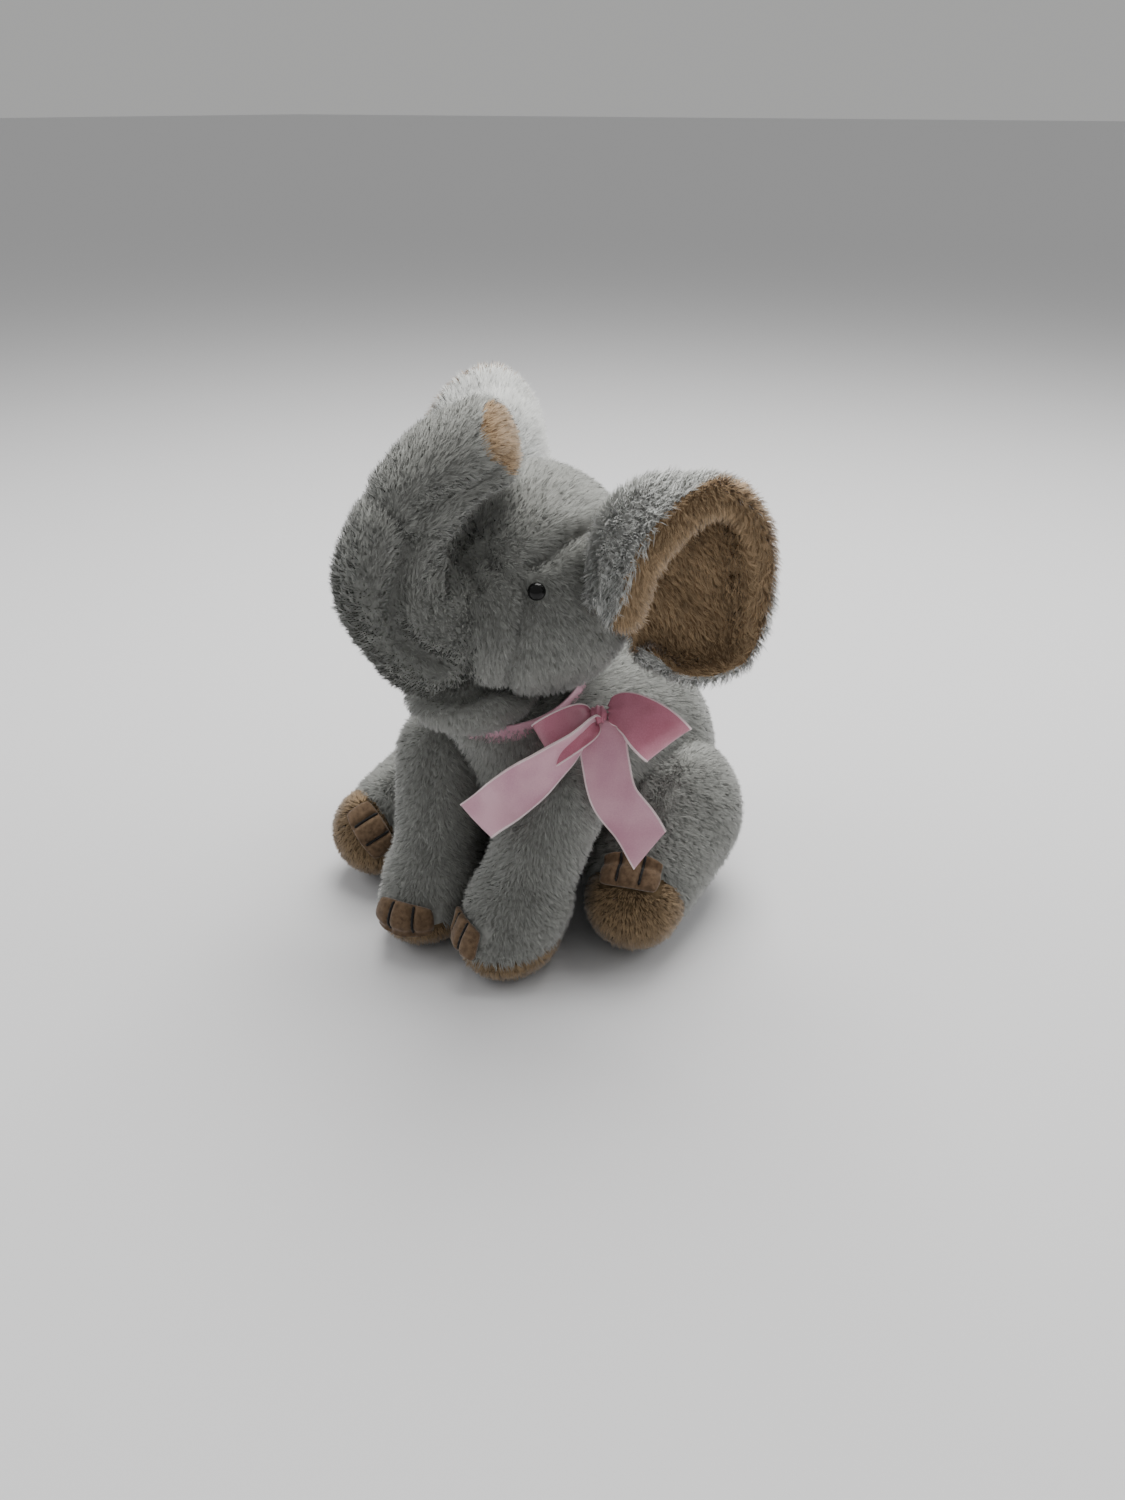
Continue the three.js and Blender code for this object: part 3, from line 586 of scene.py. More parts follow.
def pile_tones(name, colours):
    """Four plain strand colours; the pattern comes from which tuft has which."""
    out = []
    for k, colour in enumerate(colours):
        material, _, shader = new_material(f"{name}_{k}", 0.85, 0.35)
        shader.inputs["Base Color"].default_value = (*colour, 1)
        out.append(material)
    return out


def shade_range(colour, factors=(0.84, 0.96, 1.10, 1.42)):
    return [tuple(min(c * f, 0.95) for c in colour) for f in factors]


def two_tone(material, tree, shader, dark, light, fine=320, detail=4, broad=28, share=0.35,
             low=0.45, high=0.9, bump=0.5, depth=0.0008, broad_leads=False):
    """Two tones in fine noise and broad wear, and a bump that matches the fine noise.

    One noise counts in full and the other by its share: the fine one leads unless broad_leads.
    """
    nodes, links = tree.nodes, tree.links
    place = nodes.new("ShaderNodeTexCoord")
    weave = nodes.new("ShaderNodeTexNoise")
    weave.inputs["Scale"].default_value = fine
    weave.inputs["Detail"].default_value = detail
    wear = nodes.new("ShaderNodeTexNoise")
    wear.inputs["Scale"].default_value = broad
    mix = nodes.new("ShaderNodeMath")
    mix.operation = "MULTIPLY_ADD"
    mix.inputs[1].default_value = share
    ramp = nodes.new("ShaderNodeValToRGB")
    for element, at, colour in zip(ramp.color_ramp.elements, (low, high), (dark, light)):
        element.position = at
        element.color = (*colour, 1)
    height = nodes.new("ShaderNodeBump")
    height.inputs["Strength"].default_value = bump
    height.inputs["Distance"].default_value = depth
    links.new(place.outputs["Object"], weave.inputs["Vector"])
    links.new(place.outputs["Object"], wear.inputs["Vector"])
    lead, other = (wear, weave) if broad_leads else (weave, wear)
    links.new(other.outputs["Fac"], mix.inputs[0])
    links.new(lead.outputs["Fac"], mix.inputs[2])
    links.new(mix.outputs[0], ramp.inputs["Fac"])
    links.new(ramp.outputs["Color"], shader.inputs["Base Color"])
    links.new(weave.outputs["Fac"], height.inputs["Height"])
    links.new(height.outputs["Normal"], shader.inputs["Normal"])
    return material


def cloth_material(name, dark, light, scale=320, bump=0.5, roughness=0.95, sheen=0.3):
    """Matt cloth."""
    return two_tone(*new_material(name, roughness, sheen), dark, light, fine=scale, bump=bump)


GREY = (0.335, 0.34, 0.318)
# the ear's outer cloth: the body's grey made far paler as a painted highlight, for the light falling on
# the ears
EAR_HIGHLIGHT_GREY = (0.72, 0.73, 0.705)
TAN = (0.47, 0.325, 0.19)
SOLE = (0.34, 0.235, 0.135)
GREY_CLOTH = cloth_material("grey_backing", (0.20, 0.203, 0.19), (0.33, 0.335, 0.315))
EAR_HIGHLIGHT_CLOTH = cloth_material("ear_highlight_backing", (0.28, 0.28, 0.27), (0.46, 0.46, 0.44))
TAN_CLOTH = cloth_material("tan_backing", (0.20, 0.13, 0.07), (0.34, 0.225, 0.125))
GREY_PILE = pile_tones("grey_pile", shade_range(GREY))
EAR_HIGHLIGHT_PILE = pile_tones("ear_highlight_pile", shade_range(EAR_HIGHLIGHT_GREY, (0.78, 0.94, 1.08, 1.24)))
TAN_PILE = pile_tones("tan_pile", shade_range(TAN, (0.70, 0.90, 1.12, 1.40)))
SOLE_CLOTH = cloth_material("sole_backing", (0.07, 0.045, 0.022), (0.16, 0.11, 0.055))
PELLETS = cloth_material("pellet_cotton", (0.50, 0.46, 0.40), (0.70, 0.66, 0.58), scale=700)
NYLON = cloth_material("washer_nylon", (0.70, 0.70, 0.68), (0.82, 0.82, 0.80), scale=60, bump=0.05,
                       roughness=0.45, sheen=0.0)
SUEDE = cloth_material("brown_suede", (0.075, 0.046, 0.026), (0.17, 0.11, 0.065), scale=420,
                       bump=0.35, roughness=0.9, sheen=0.25)
THREAD = cloth_material("black_thread", (0.004, 0.004, 0.004), (0.02, 0.02, 0.02), scale=900,
                        roughness=0.7, sheen=0.1)


def satin_material(name, dark, light):
    """Satin: a soft directional gloss over a fine weave of two close tones."""
    material, tree, shader = new_material(name, 0.38, 0.5)
    shader.inputs["Anisotropic"].default_value = 0.6
    shader.inputs["Specular IOR Level"].default_value = 0.6
    return two_tone(material, tree, shader, dark, light, fine=1400, detail=2, broad=45, share=0.4,
                    low=0.5, high=0.85, bump=0.12, depth=0.0003, broad_leads=True)


SATIN_PINK = satin_material("satin_pink_cloth", (0.56, 0.27, 0.36), (0.68, 0.38, 0.46))
# the same pink satin painted darker and redder as shade, for the bow's loops and knot
SATIN_PINK_SHADED = satin_material("satin_pink_painted_shade", (0.42, 0.12, 0.18), (0.55, 0.19, 0.27))
SATIN_EDGE = satin_material("satin_edge_cord", (0.70, 0.50, 0.54), (0.85, 0.68, 0.70))
EYE_BLACK = cloth_material("eye_gloss", (0.002, 0.002, 0.002), (0.006, 0.006, 0.006), scale=40,
                           bump=0.0, roughness=0.12, sheen=0.0)
SOLE_PILE = pile_tones("sole_pile", shade_range(SOLE, (0.68, 0.9, 1.1, 1.4)))


# ---------------------------------------------------------------- floor, light, camera
def build_stage():
    floor = add_mesh("floor", [(-30, -30, 0), (30, -30, 0), (30, 30, 0), (-30, 30, 0)], [(0, 1, 2, 3)])
    material, _, shader = new_material("pale_floor", 0.9)
    shader.inputs["Base Color"].default_value = (0.72, 0.72, 0.73, 1)
    floor.data.materials.append(material)
    world = bpy.data.worlds.new("pale_room")
    world.use_nodes = True
    world.node_tree.nodes["Background"].inputs["Color"].default_value = (0.93, 0.93, 0.92, 1)
    world.node_tree.nodes["Background"].inputs["Strength"].default_value = 0.46
    bpy.context.scene.world = world
    target = Vector(to_row([10, 0, 110]))
    for name, at, size, power, colour in (
            ("overhead", (-0.15, 0.45, 1.35), 1.1, 31, (1, 0.99, 0.97)),
            ("left_wash", (-1.1, -0.5, 0.9), 1.0, 5, (0.97, 0.98, 1)),
            ("right_back", (0.9, 0.9, 0.8), 0.9, 7, (1, 1, 1))):
        light = bpy.data.lights.new(name, "AREA")
        light.size = size
        light.energy = power
        light.color = colour
        lamp = bpy.data.objects.new(name, light)
        lamp.location = at
        lamp.rotation_euler = (target - lamp.location).to_track_quat("-Z", "Y").to_euler()
        bpy.context.scene.collection.objects.link(lamp)


CAMERA = {"azimuth": math.radians(34), "elevation": math.radians(28), "distance": 0.660,
          "target": [22, 0, 100], "lens": 29.38}


def build_camera():
    azimuth, elevation = CAMERA["azimuth"], CAMERA["elevation"]
    target = Vector(to_row(CAMERA["target"]))
    back = Vector((math.sin(azimuth) * math.cos(elevation), -math.cos(azimuth) * math.cos(elevation),
                   math.sin(elevation)))
    data = bpy.data.cameras.new("camera")
    data.sensor_width = 36
    data.lens = CAMERA["lens"]
    camera = bpy.data.objects.new("camera", data)
    camera.location = target + back * CAMERA["distance"]
    camera.rotation_euler = (-back).to_track_quat("-Z", "Y").to_euler()
    bpy.context.scene.collection.objects.link(camera)
    bpy.context.scene.camera = camera


# ---------------------------------------------------------------- which way the pile lies
def down_back(p, n):
    return np.tile([0.0, 0.35, -1.0], (len(p), 1))


def head_flow(p, n):
    """Back from the face over the crown, down at the cheeks."""
    q = to_head(p)
    crown = np.clip((q[:, 2] - 190) / 50, 0, 1)[:, None]
    way = crown * np.array([0.0, 1.0, -0.1]) + (1 - crown) * np.array([0.0, 0.25, -1.0])
    return way @ HEAD_TURN.T


def along(line, frame_in=None):
    def flow(p, n):
        q = p if frame_in is None else frame_in(p)
        _, t = near_line(q, line)
        ahead = catmull(line, np.clip(t + 0.02, 0, 1)) - catmull(line, np.clip(t - 0.02, 0, 1))
        return ahead if frame_in is None else ahead @ HEAD_TURN.T
    return flow


def clear_of(*fields, depth=6.0):
    """Keeps strands that aren't buried in another stuffed part."""
    def keep(p, n):
        good = np.ones(len(p), dtype=bool)
        for f in fields:
            good &= f(p) > -depth
        return good
    return keep


# ---------------------------------------------------------------- stuffed skins
PRESSURE = 4
SWELL_FRAMES = 20
SWELL_CAP = 3.5        # no point moves further than this, mm


def swell(obj, pinned):
    """Stuffing pressure between pinned seams, by cloth simulation; the result is kept."""
    start = coords(obj)
    group = obj.vertex_groups.new(name="pinned")
    group.add(np.nonzero(pinned)[0].tolist(), 1.0, "REPLACE")
    mod = obj.modifiers.new("swell", "CLOTH")
    cloth = mod.settings
    cloth.quality = 4
    cloth.mass = 0.3
    cloth.tension_stiffness = 12
    cloth.compression_stiffness = 12
    cloth.bending_stiffness = 0.4
    cloth.use_pressure = True
    cloth.uniform_pressure_force = PRESSURE
    cloth.effector_weights.gravity = 0
    cloth.vertex_group_mass = "pinned"
    mod.collision_settings.use_collision = False
    mod.point_cache.frame_start = 1
    mod.point_cache.frame_end = SWELL_FRAMES
    scene = bpy.context.scene
    for step in range(1, SWELL_FRAMES + 1):
        scene.frame_set(step)
    depsgraph = bpy.context.evaluated_depsgraph_get()
    result = obj.evaluated_get(depsgraph).data
    moved = np.empty(len(result.vertices) * 3)
    result.vertices.foreach_get("co", moved)
    shift = moved.reshape(-1, 3) - start
    far = np.linalg.norm(shift, axis=1, keepdims=True)
    shift *= np.minimum(1, SWELL_CAP * MM / np.maximum(far, 1e-9))
    obj.modifiers.clear()
    obj.vertex_groups.clear()
    scene.frame_set(1)
    done = start + np.nan_to_num(shift)
    done[:, 2] = np.maximum(done[:, 2], FLOOR_CLEAR * MM)
    set_coords(obj, done)


def stuffed(name, field, low, high, cloths, nodes, hold, region=None):
    """One stuffed skin: sculpted, swollen between its seams, smoothed and given its cloths."""
    obj = sculpt(name, field, low, high)
    p = toy_coords(obj)
    swell(obj, hold(p) | (p[:, 2] < 4))
    subdivide(obj)
    for cloth in cloths:
        obj.data.materials.append(cloth)
    if region is not None:
        centre = np.empty(len(obj.data.polygons) * 3)
        obj.data.polygons.foreach_get("center", centre)
        which = region(centre.reshape(-1, 3) / MM - ORIGIN).astype(np.int32)
        obj.data.polygons.foreach_set("material_index", which)
    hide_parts(*nodes)
    return obj


def buried(*fields, depth=3.0):
    def test(p):
        out = np.zeros(len(p), dtype=bool)
        for f in fields:
            out |= f(p) < depth
        return out
    return test


def build_torso():
    legs = [front_leg_field(s) for s in SIDES] + [hind_leg_field(s) for s in SIDES]
    skin = stuffed("plush_torso", torso_field, (-90, -60, -6), (90, 142, 160), [GREY_CLOTH],
                   ["torso_skin", "torso_stuffing"], buried(*legs, head_field))
    pile = grow_pile("pile_torso", skin, down_back, GREY_PILE, 11,
                     keep=lambda p, n: clear_of(*legs, head_field)(p, n) & (p[:, 2] > 2.5))
    for obj in (skin, pile):
        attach(obj, "torso")


def build_head():
    skin = stuffed("plush_head", head_field, (-75, -95, 118), (85, 75, 265), [GREY_CLOTH],
                   ["head_skin", "forehead_gusset", "lower_jaw", "head_stuffing"],
                   buried(trunk_lower_field, torso_field, head_creases))

    def keep(p, n):
        q = to_head(p)
        open_eye = np.minimum(*(np.linalg.norm(q - eye_at(s), axis=1) for s in (1, -1))) > 5.0
        return clear_of(trunk_lower_field, trunk_end_field, torso_field)(p, n) & open_eye
    pile = grow_pile("pile_head", skin, head_flow, GREY_PILE, 12, keep=keep, creases=head_creases)
    for obj in (skin, pile):
        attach(obj, "head")


def tip_face(p):
    """Where the trunk's end faces back: inside the tan patch."""
    q = to_head(p) - np.array(TRUNK_END[2])
    ahead = q @ unit(TIP_AXIS)
    off = np.linalg.norm(q - ahead[:, None] * unit(TIP_AXIS), axis=1)
    return (ahead > 7.0) & (off < 20.5)


def build_trunk():
    line = [[3, -20, 160]] + TRUNK_LOWER + TRUNK_END[1:]
    skin = stuffed("plush_trunk_lower", trunk_lower_field, (-85, -140, 130), (60, -10, 275),
                   [GREY_CLOTH], ["trunk_lower_skin", "trunk_lower_stuffing"],
                   buried(head_field, trunk_end_field, trunk_creases))
    pile = grow_pile("pile_trunk_lower", skin, along(line, to_head), GREY_PILE, 13,
                     keep=clear_of(head_field, trunk_end_field), creases=trunk_creases)
    for obj in (skin, pile):
        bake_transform(obj)
    skin = stuffed("plush_trunk_end", trunk_end_field, (-70, -130, 200), (70, 10, 305),
                   [GREY_CLOTH, TAN_CLOTH],
                   ["trunk_end_skin", "trunk_tip_patch", "trunk_end_stuffing"],
                   buried(head_field, trunk_lower_field), region=tip_face)
    hidden = clear_of(head_field, trunk_lower_field)
    pile = grow_pile("pile_trunk_end", skin, along(line, to_head), GREY_PILE, 14,
                     keep=lambda p, n: hidden(p, n) & ~tip_face(p),
                     creases=lambda p: near_line(to_head(p), TRUNK_FOLD)[0])
    patch = grow_pile("pile_trunk_tip", skin, head_flow, TAN_PILE, 15, length=3.5, lean=40,
                      keep=lambda p, n: tip_face(p))
    for obj in (skin, pile, patch):
        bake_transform(obj)


# ---------------------------------------------------------------- legs, soles, toes
def on_skin(field, start, way, reach=60.0):
    """Where lines from start along way leave the stuffed form."""
    near = np.zeros(len(start))
    far = np.full(len(start), reach)
    for _ in range(24):
        middle = (near + far) / 2
        inside = field(start + middle[:, None] * way) < 0
        near, far = np.where(inside, middle, near), np.where(inside, far, middle)
    return start + near[:, None] * way


def toe_lines():
    return (-TOE_SPACING / 2, TOE_SPACING / 2)


def toe_surface(field, toes, a, b, lift):
    middle, up, across, out, foot = toes
    wanted = middle + a[:, None] * across + b[:, None] * up
    inner = foot + 0.35 * (wanted - foot)
    way = unit(wanted - inner)
    return on_skin(field, inner, way) + lift[:, None] * way


def build_toes(pair, side, field, body):
    """A suede panel drawn in along two stitched toe lines, and the black stitches in them."""
    toes = toe_frame(pair, side)
    wide, high = TOE_PANEL
    na, nb = 49, 25
    a, b = (g.ravel() for g in np.meshgrid(np.linspace(-1, 1, na), np.linspace(-1, 1, nb)))
    edge = np.clip(1 - np.maximum(np.abs(a), np.abs(b)) ** 6, 0, 1) ** 0.5
    corner = 1 - 0.10 * (np.abs(a * b)) ** 3
    a, b = a * wide / 2 * corner, b * high / 2 * corner
    pinch = sum(np.exp(-((a - t) / 1.5) ** 2) for t in toe_lines())
    lift = 0.6 + 2.3 * edge - 1.8 * pinch * edge
    top = toe_surface(field, toes, a, b, lift)
    under = toe_surface(field, toes, a, b, np.full(len(a), -0.8))
    faces, count = [], na * nb
    for i in range(nb - 1):
        for j in range(na - 1):
            k = i * na + j
            faces.append((k, k + 1, k + na + 1, k + na))
            faces.append((k + count, k + na + count, k + na + 1 + count, k + 1 + count))
    rim = ([(0, j) for j in range(na - 1)] + [(i, na - 1) for i in range(nb - 1)]
           + [(nb - 1, j) for j in range(na - 1, 0, -1)] + [(i, 0) for i in range(nb - 1, 0, -1)])
    ring = [i * na + j for i, j in rim]
    for k, index in enumerate(ring):
        after = ring[(k + 1) % len(ring)]
        faces.append((index, index + count, after + count, after))
    panel = add_mesh(f"toe_panel_{pair}_{side}", to_row(np.vstack([top, under])), faces)
    fix_winding(panel)
    panel.data.materials.append(SUEDE)
    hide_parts(f"{body}_toe_panel")
    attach(panel, body)
    for t, word in zip(toe_lines(), ("inner", "outer")):
        along_b = np.linspace(-0.36, 0.46, STITCH_STEPS) * high
        path = toe_surface(field, toes, np.full(STITCH_STEPS, t), along_b,
                           1.45 + 0.2 * np.sin(np.linspace(0, 12 * math.pi, STITCH_STEPS)))
        stitch = add_tube(f"toe_stitch_{pair}_{side}_{word}", path, 0.75)
        stitch.data.materials.append(THREAD)
        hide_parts(f"{body}_toe_stitch_{word}")
        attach(stitch, body)


def fix_winding(obj):
    mesh = obj.data
    mesh.calc_loop_triangles()
    tri = np.empty(len(mesh.loop_triangles) * 3, dtype=np.int32)
    mesh.loop_triangles.foreach_get("vertices", tri)
    co = coords(obj)
    a, b, c = (co[tri.reshape(-1, 3)[:, k]] for k in range(3))
    if np.sum(np.cross(a, b) * c) < 0:
        mesh.flip_normals()


def lathe_faces(rows, turns):
    """Quads between rings of points, and a cap at each end."""
    faces = []
    for i in range(rows - 1):
        for k in range(turns):
            j = (k + 1) % turns
            faces.append((i * turns + k, i * turns + j, (i + 1) * turns + j, (i + 1) * turns + k))
    faces.append(tuple(range(turns))[::-1])
    faces.append(tuple((rows - 1) * turns + k for k in range(turns)))
    return faces


def add_tube(name, path, radius, sides=8):
    """A closed round cord through the points (toy mm), with rounded ends."""
    path = np.asarray(path, float)
    tangent = unit(np.gradient(path, axis=0))
    hint = np.array([0.3, 0.2, 1.0]) if abs(tangent[0][2]) < 0.8 else np.array([1.0, 0.2, 0.0])
    side = unit(np.cross(tangent, hint))
    other = np.cross(tangent, side)
    turn = np.linspace(0, 2 * math.pi, sides, endpoint=False)
    ring = (np.cos(turn)[None, :, None] * side[:, None, :]
            + np.sin(turn)[None, :, None] * other[:, None, :])
    taper = np.ones(len(path))
    taper[[0, -1]] = 0.5
    rings = path[:, None, :] + radius * taper[:, None, None] * ring
    verts = np.vstack([rings.reshape(-1, 3), path[:1] - tangent[:1] * radius * 0.6,
                       path[-1:] + tangent[-1:] * radius * 0.6])
    n, last = len(path), len(path) * sides
    faces = []
    for i in range(n - 1):
        for j in range(sides):
            k = (j + 1) % sides
            faces.append((i * sides + j, i * sides + k, (i + 1) * sides + k, (i + 1) * sides + j))
    for j in range(sides):
        k = (j + 1) % sides
        faces.append((last, k, j))
        faces.append((last + 1, (n - 1) * sides + j, (n - 1) * sides + k))
    obj = add_mesh(name, to_row(verts), faces)
    fix_winding(obj)
    return obj


def build_leg(pair, side, field, sole, low, high, seed):
    body = f"{pair}_{side}_leg"
    toes = toe_frame(pair, side)
    skin = stuffed(f"plush_{body}", field, low, high, [GREY_CLOTH, SOLE_CLOTH],
                   [f"{body}_skin", f"{body}_sole", f"{body}_stuffing"],
                   buried(torso_field), region=sole)

    def off_panel(p):
        middle, up, across, out, foot = toes
        q = p - middle
        wide, high = (side_length / 2 - 1.0 for side_length in TOE_PANEL)
        inside = (np.abs(q @ across) < wide) & (np.abs(q @ up) < high) & (q @ out > -14)
        return ~inside
    shown = clear_of(torso_field)
    pile = grow_pile(f"pile_{body}", skin, down_back, GREY_PILE, seed,
                     keep=lambda p, n: shown(p, n) & (p[:, 2] > 2) & ~sole(p) & off_panel(p))
    under = grow_pile(f"pile_{body}_sole", skin, down_back, SOLE_PILE, seed + 5, length=3.6,
                      width=0.5, lean=50, keep=lambda p, n: (p[:, 2] > 0.8) & sole(p) & off_panel(p))
    for obj in (skin, pile, under):
        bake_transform(obj)
    build_toes(pair, side, field, body)


def build_legs():
    for side, s in SIDES.items():
        x, y = FRONT_FEET[side]
        low, high = sorted((s * 70, x - s * 36))
        build_leg("front", side, front_leg_field(side), lambda p: p[:, 2] < FRONT_SOLE,
                  (low, -96, -6), (high, 8, 126), 40 + s)
        low, high = sorted((s * 4, s * 122))
        build_leg("hind", side, hind_leg_field(side), lambda p, side=side: hind_sole(side, p) > 0,
                  (low, -72, -6), (high, 104, 106), 60 + s)


def build_tail():
    line = [[0, 119, 54], [0, 141, 48], [2, 151, 32]]
    skin = stuffed("plush_tail", tail_field, (-18, 104, 14), (18, 166, 72), [GREY_CLOTH], ["tail"],
                   buried(torso_field))
    pile = grow_pile("pile_tail", skin, along(line), GREY_PILE, 81, length=6, lean=64)
    tuft = grow_pile("pile_tail_tuft", skin, along(line), GREY_PILE, 82, length=13, lean=74,
                     density=2.0, keep=lambda p, n: p[:, 2] < 36)
    for obj in (skin, pile, tuft):
        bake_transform(obj)


# ---------------------------------------------------------------- ears
EAR_ROOT = [[57, 21, 205], [56, 17, 226], [55, 24, 243], [54, 36, 238], [54, 43, 220],
            [55, 42, 200], [58, 34, 181]]
EAR_RIM = [[84, 15, 203], [91, 21, 233], [97, 38, 250], [101, 62, 257], [106, 80, 243],
           [107, 88, 214], [104, 80, 164], [88, 55, 158], [70, 38, 173]]
RIGHT_EAR_SHIFT = np.array([0, -16, 22])
EAR_ROWS, EAR_COLUMNS = 48, 120
EAR_REACH = 0.83       # the cloth stops short of the outline, which the rolled rim and pile make up


def ear_sheet(side):
    """Middle of the ear's two cloths, its outward normal and where each point lies on it."""
    s = SIDES[side]
    v = np.linspace(0, 1, EAR_COLUMNS)
    u = np.linspace(0, 1, EAR_ROWS)
    root, rim = catmull(EAR_ROOT, v), catmull(EAR_RIM, v)
    if s < 0:
        rim = rim + RIGHT_EAR_SHIFT
    sheet = root[None] * (1 - EAR_REACH * u)[:, None, None] + rim[None] * (EAR_REACH * u)[:, None, None]
    normal = unit(np.cross(np.gradient(sheet, axis=0), np.gradient(sheet, axis=1)))
    uu, vv = np.meshgrid(u, v, indexing="ij")
    bow = 8 * np.sin(math.pi * uu) + ear_folds(uu, vv)
    sheet = sheet + bow[..., None] * normal
    normal = unit(np.cross(np.gradient(sheet, axis=0), np.gradient(sheet, axis=1)))
    flip = np.array([s, 1, 1])
    return (sheet * flip).reshape(-1, 3), (normal * flip).reshape(-1, 3), uu.ravel(), vv.ravel()


def ear_folds(u, v):
    """A soft standing crease down the back wall, and a lobe on either side of it."""
    crease = np.exp(-((v - 0.70) / 0.05) ** 2) * np.clip(u * 1.5, 0, 1)
    lobe = np.exp(-((v - 0.58) / 0.07) ** 2) * np.sin(math.pi * np.clip(u, 0, 1))
    return 4.0 * crease - 4.0 * lobe


def smooth_step(x, low, high):
    t = np.clip((x - low) / (high - low), 0, 1)
    return t * t * (3 - 2 * t)


def ear_thickness(u, v):
    """Half thickness in mm: thin at the root, a soft roll along the rim, fullest at the front."""
    roll = smooth_step(u, 0.72, 0.97) * (1 - 0.75 * smooth_step(v, 0.60, 0.80))
    front = np.exp(-((v - 0.16) / 0.22) ** 2)
    return 5.2 + 1.0 * np.sin(math.pi * u) + (4.0 + 3.4 * front) * roll


def build_ear(side):
    sheet, normal, u, v = ear_sheet(side)
    half = ear_thickness(u, v)
    tree = KDTree(len(sheet))
    for k, p in enumerate(sheet):
        tree.insert(p, k)
    tree.balance()

    def nearest(q):
        return np.array([tree.find(p)[1] for p in q])

    def field(p):
        q = to_head(p)
        low, high = sheet.min(axis=0) - 12, sheet.max(axis=0) + 12
        near = np.all((q > low) & (q < high), axis=1)
        d = np.full(len(q), 12.0)
        k = nearest(q[near])
        d[near] = np.linalg.norm(q[near] - sheet[k], axis=1) - half[k]
        return d

    def lining(p):
        q = to_head(p)
        k = nearest(q)
        height = np.sum((q - sheet[k]) * normal[k], axis=1) / half[k]
        lip = 0.75 * smooth_step(u[k], 0.80, 0.98) * (1 - smooth_step(v[k], 0.55, 0.75))
        return height < -0.05 + lip

    def flow(p, n):
        q = to_head(p)
        k = nearest(q)
        after = np.clip(k + EAR_COLUMNS, 0, len(sheet) - 1)
        before = np.clip(k - EAR_COLUMNS, 0, len(sheet) - 1)
        return (sheet[after] - sheet[before]) @ HEAD_TURN.T + [0, 0, -0.8]
    toy = from_head(sheet)
    skin = stuffed(f"plush_ear_{side}", field, toy.min(axis=0) - 11, toy.max(axis=0) + 11,
                   # the outer ear cloth and its pile take the grey with the painted highlight
                   [EAR_HIGHLIGHT_CLOTH, TAN_CLOTH], [f"ear_outer_{side}", f"ear_lining_{side}"],
                   buried(head_field), region=lining)
    seed = 90 + SIDES[side]
    outer = grow_pile(f"pile_ear_{side}_outer", skin, flow, EAR_HIGHLIGHT_PILE, seed, length=6.5,
                      keep=lambda p, n: ~lining(p) & clear_of(head_field)(p, n))
    inner = grow_pile(f"pile_ear_{side}_lining", skin, flow, TAN_PILE, seed + 10, length=5.5,
                      keep=lambda p, n: lining(p) & clear_of(head_field)(p, n))
    for obj in (skin, outer, inner):
        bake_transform(obj)


# ---------------------------------------------------------------- eyes
def build_eye(side):
    """A domed black button with a rounded edge, set down into the pile."""
    s = SIDES[side]
    out = eye_out(s)
    across = unit(np.cross(out, [0, 0, 1]))
    up = np.cross(across, out)
    profile = [(1.5, -9.0), (1.6, -1.4)]
    profile += [(4.3 * math.sin(t), 0.9 - 1.3 * math.cos(t)) for t in (0.55, 0.9, 1.25)]
    profile += [(4.3 * math.cos(t), 0.9 + 3.2 * math.sin(t)) for t in np.linspace(0, 1.5, 10)]
    turns = 36
    verts = []
    for r, h in profile:
        for k in range(turns):
            a = 2 * math.pi * k / turns
            verts.append(eye_at(s) + out * (h + 1.2) + r * (math.cos(a) * across + math.sin(a) * up))
    eye = add_mesh(f"eye_button_{side}", to_row(from_head(np.array(verts))),
                   lathe_faces(len(profile), turns))
    fix_winding(eye)
    eye.data.materials.append(EYE_BLACK)
    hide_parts(f"eye_{side}")
    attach(eye, "head")


# ---------------------------------------------------------------- ribbon
RIBBON = 24.0
KNOT = np.array([58.0, -22, 140])
LOOPS = {"back": ([0.82, 0.38, -0.36], [0.13, 0.56, 0.75], 37, 7.5, 7.0),
         "front": ([-0.44, -0.88, -0.30], [-0.6, 0.2, 0.76], 31, 0.0, 0.0)}
TAILS = {"front": ([0.35, 0.2, 0.9], [[60, -34, 137], [57, -45, 131], [48, -57, 121], [32, -66, 104],
                                       [16, -69, 88]]),
         "back": ([0.85, 0.5, 0.1], [[62, -25, 133], [67, -29, 121], [75, -33, 104],
                                     [87, -31, 90], [95, -30, 78]])}
BAND = {"at": np.array([0.0, -6, 136]), "radius": 49.0, "tilt_x": 0.28, "tilt_y": -0.06}


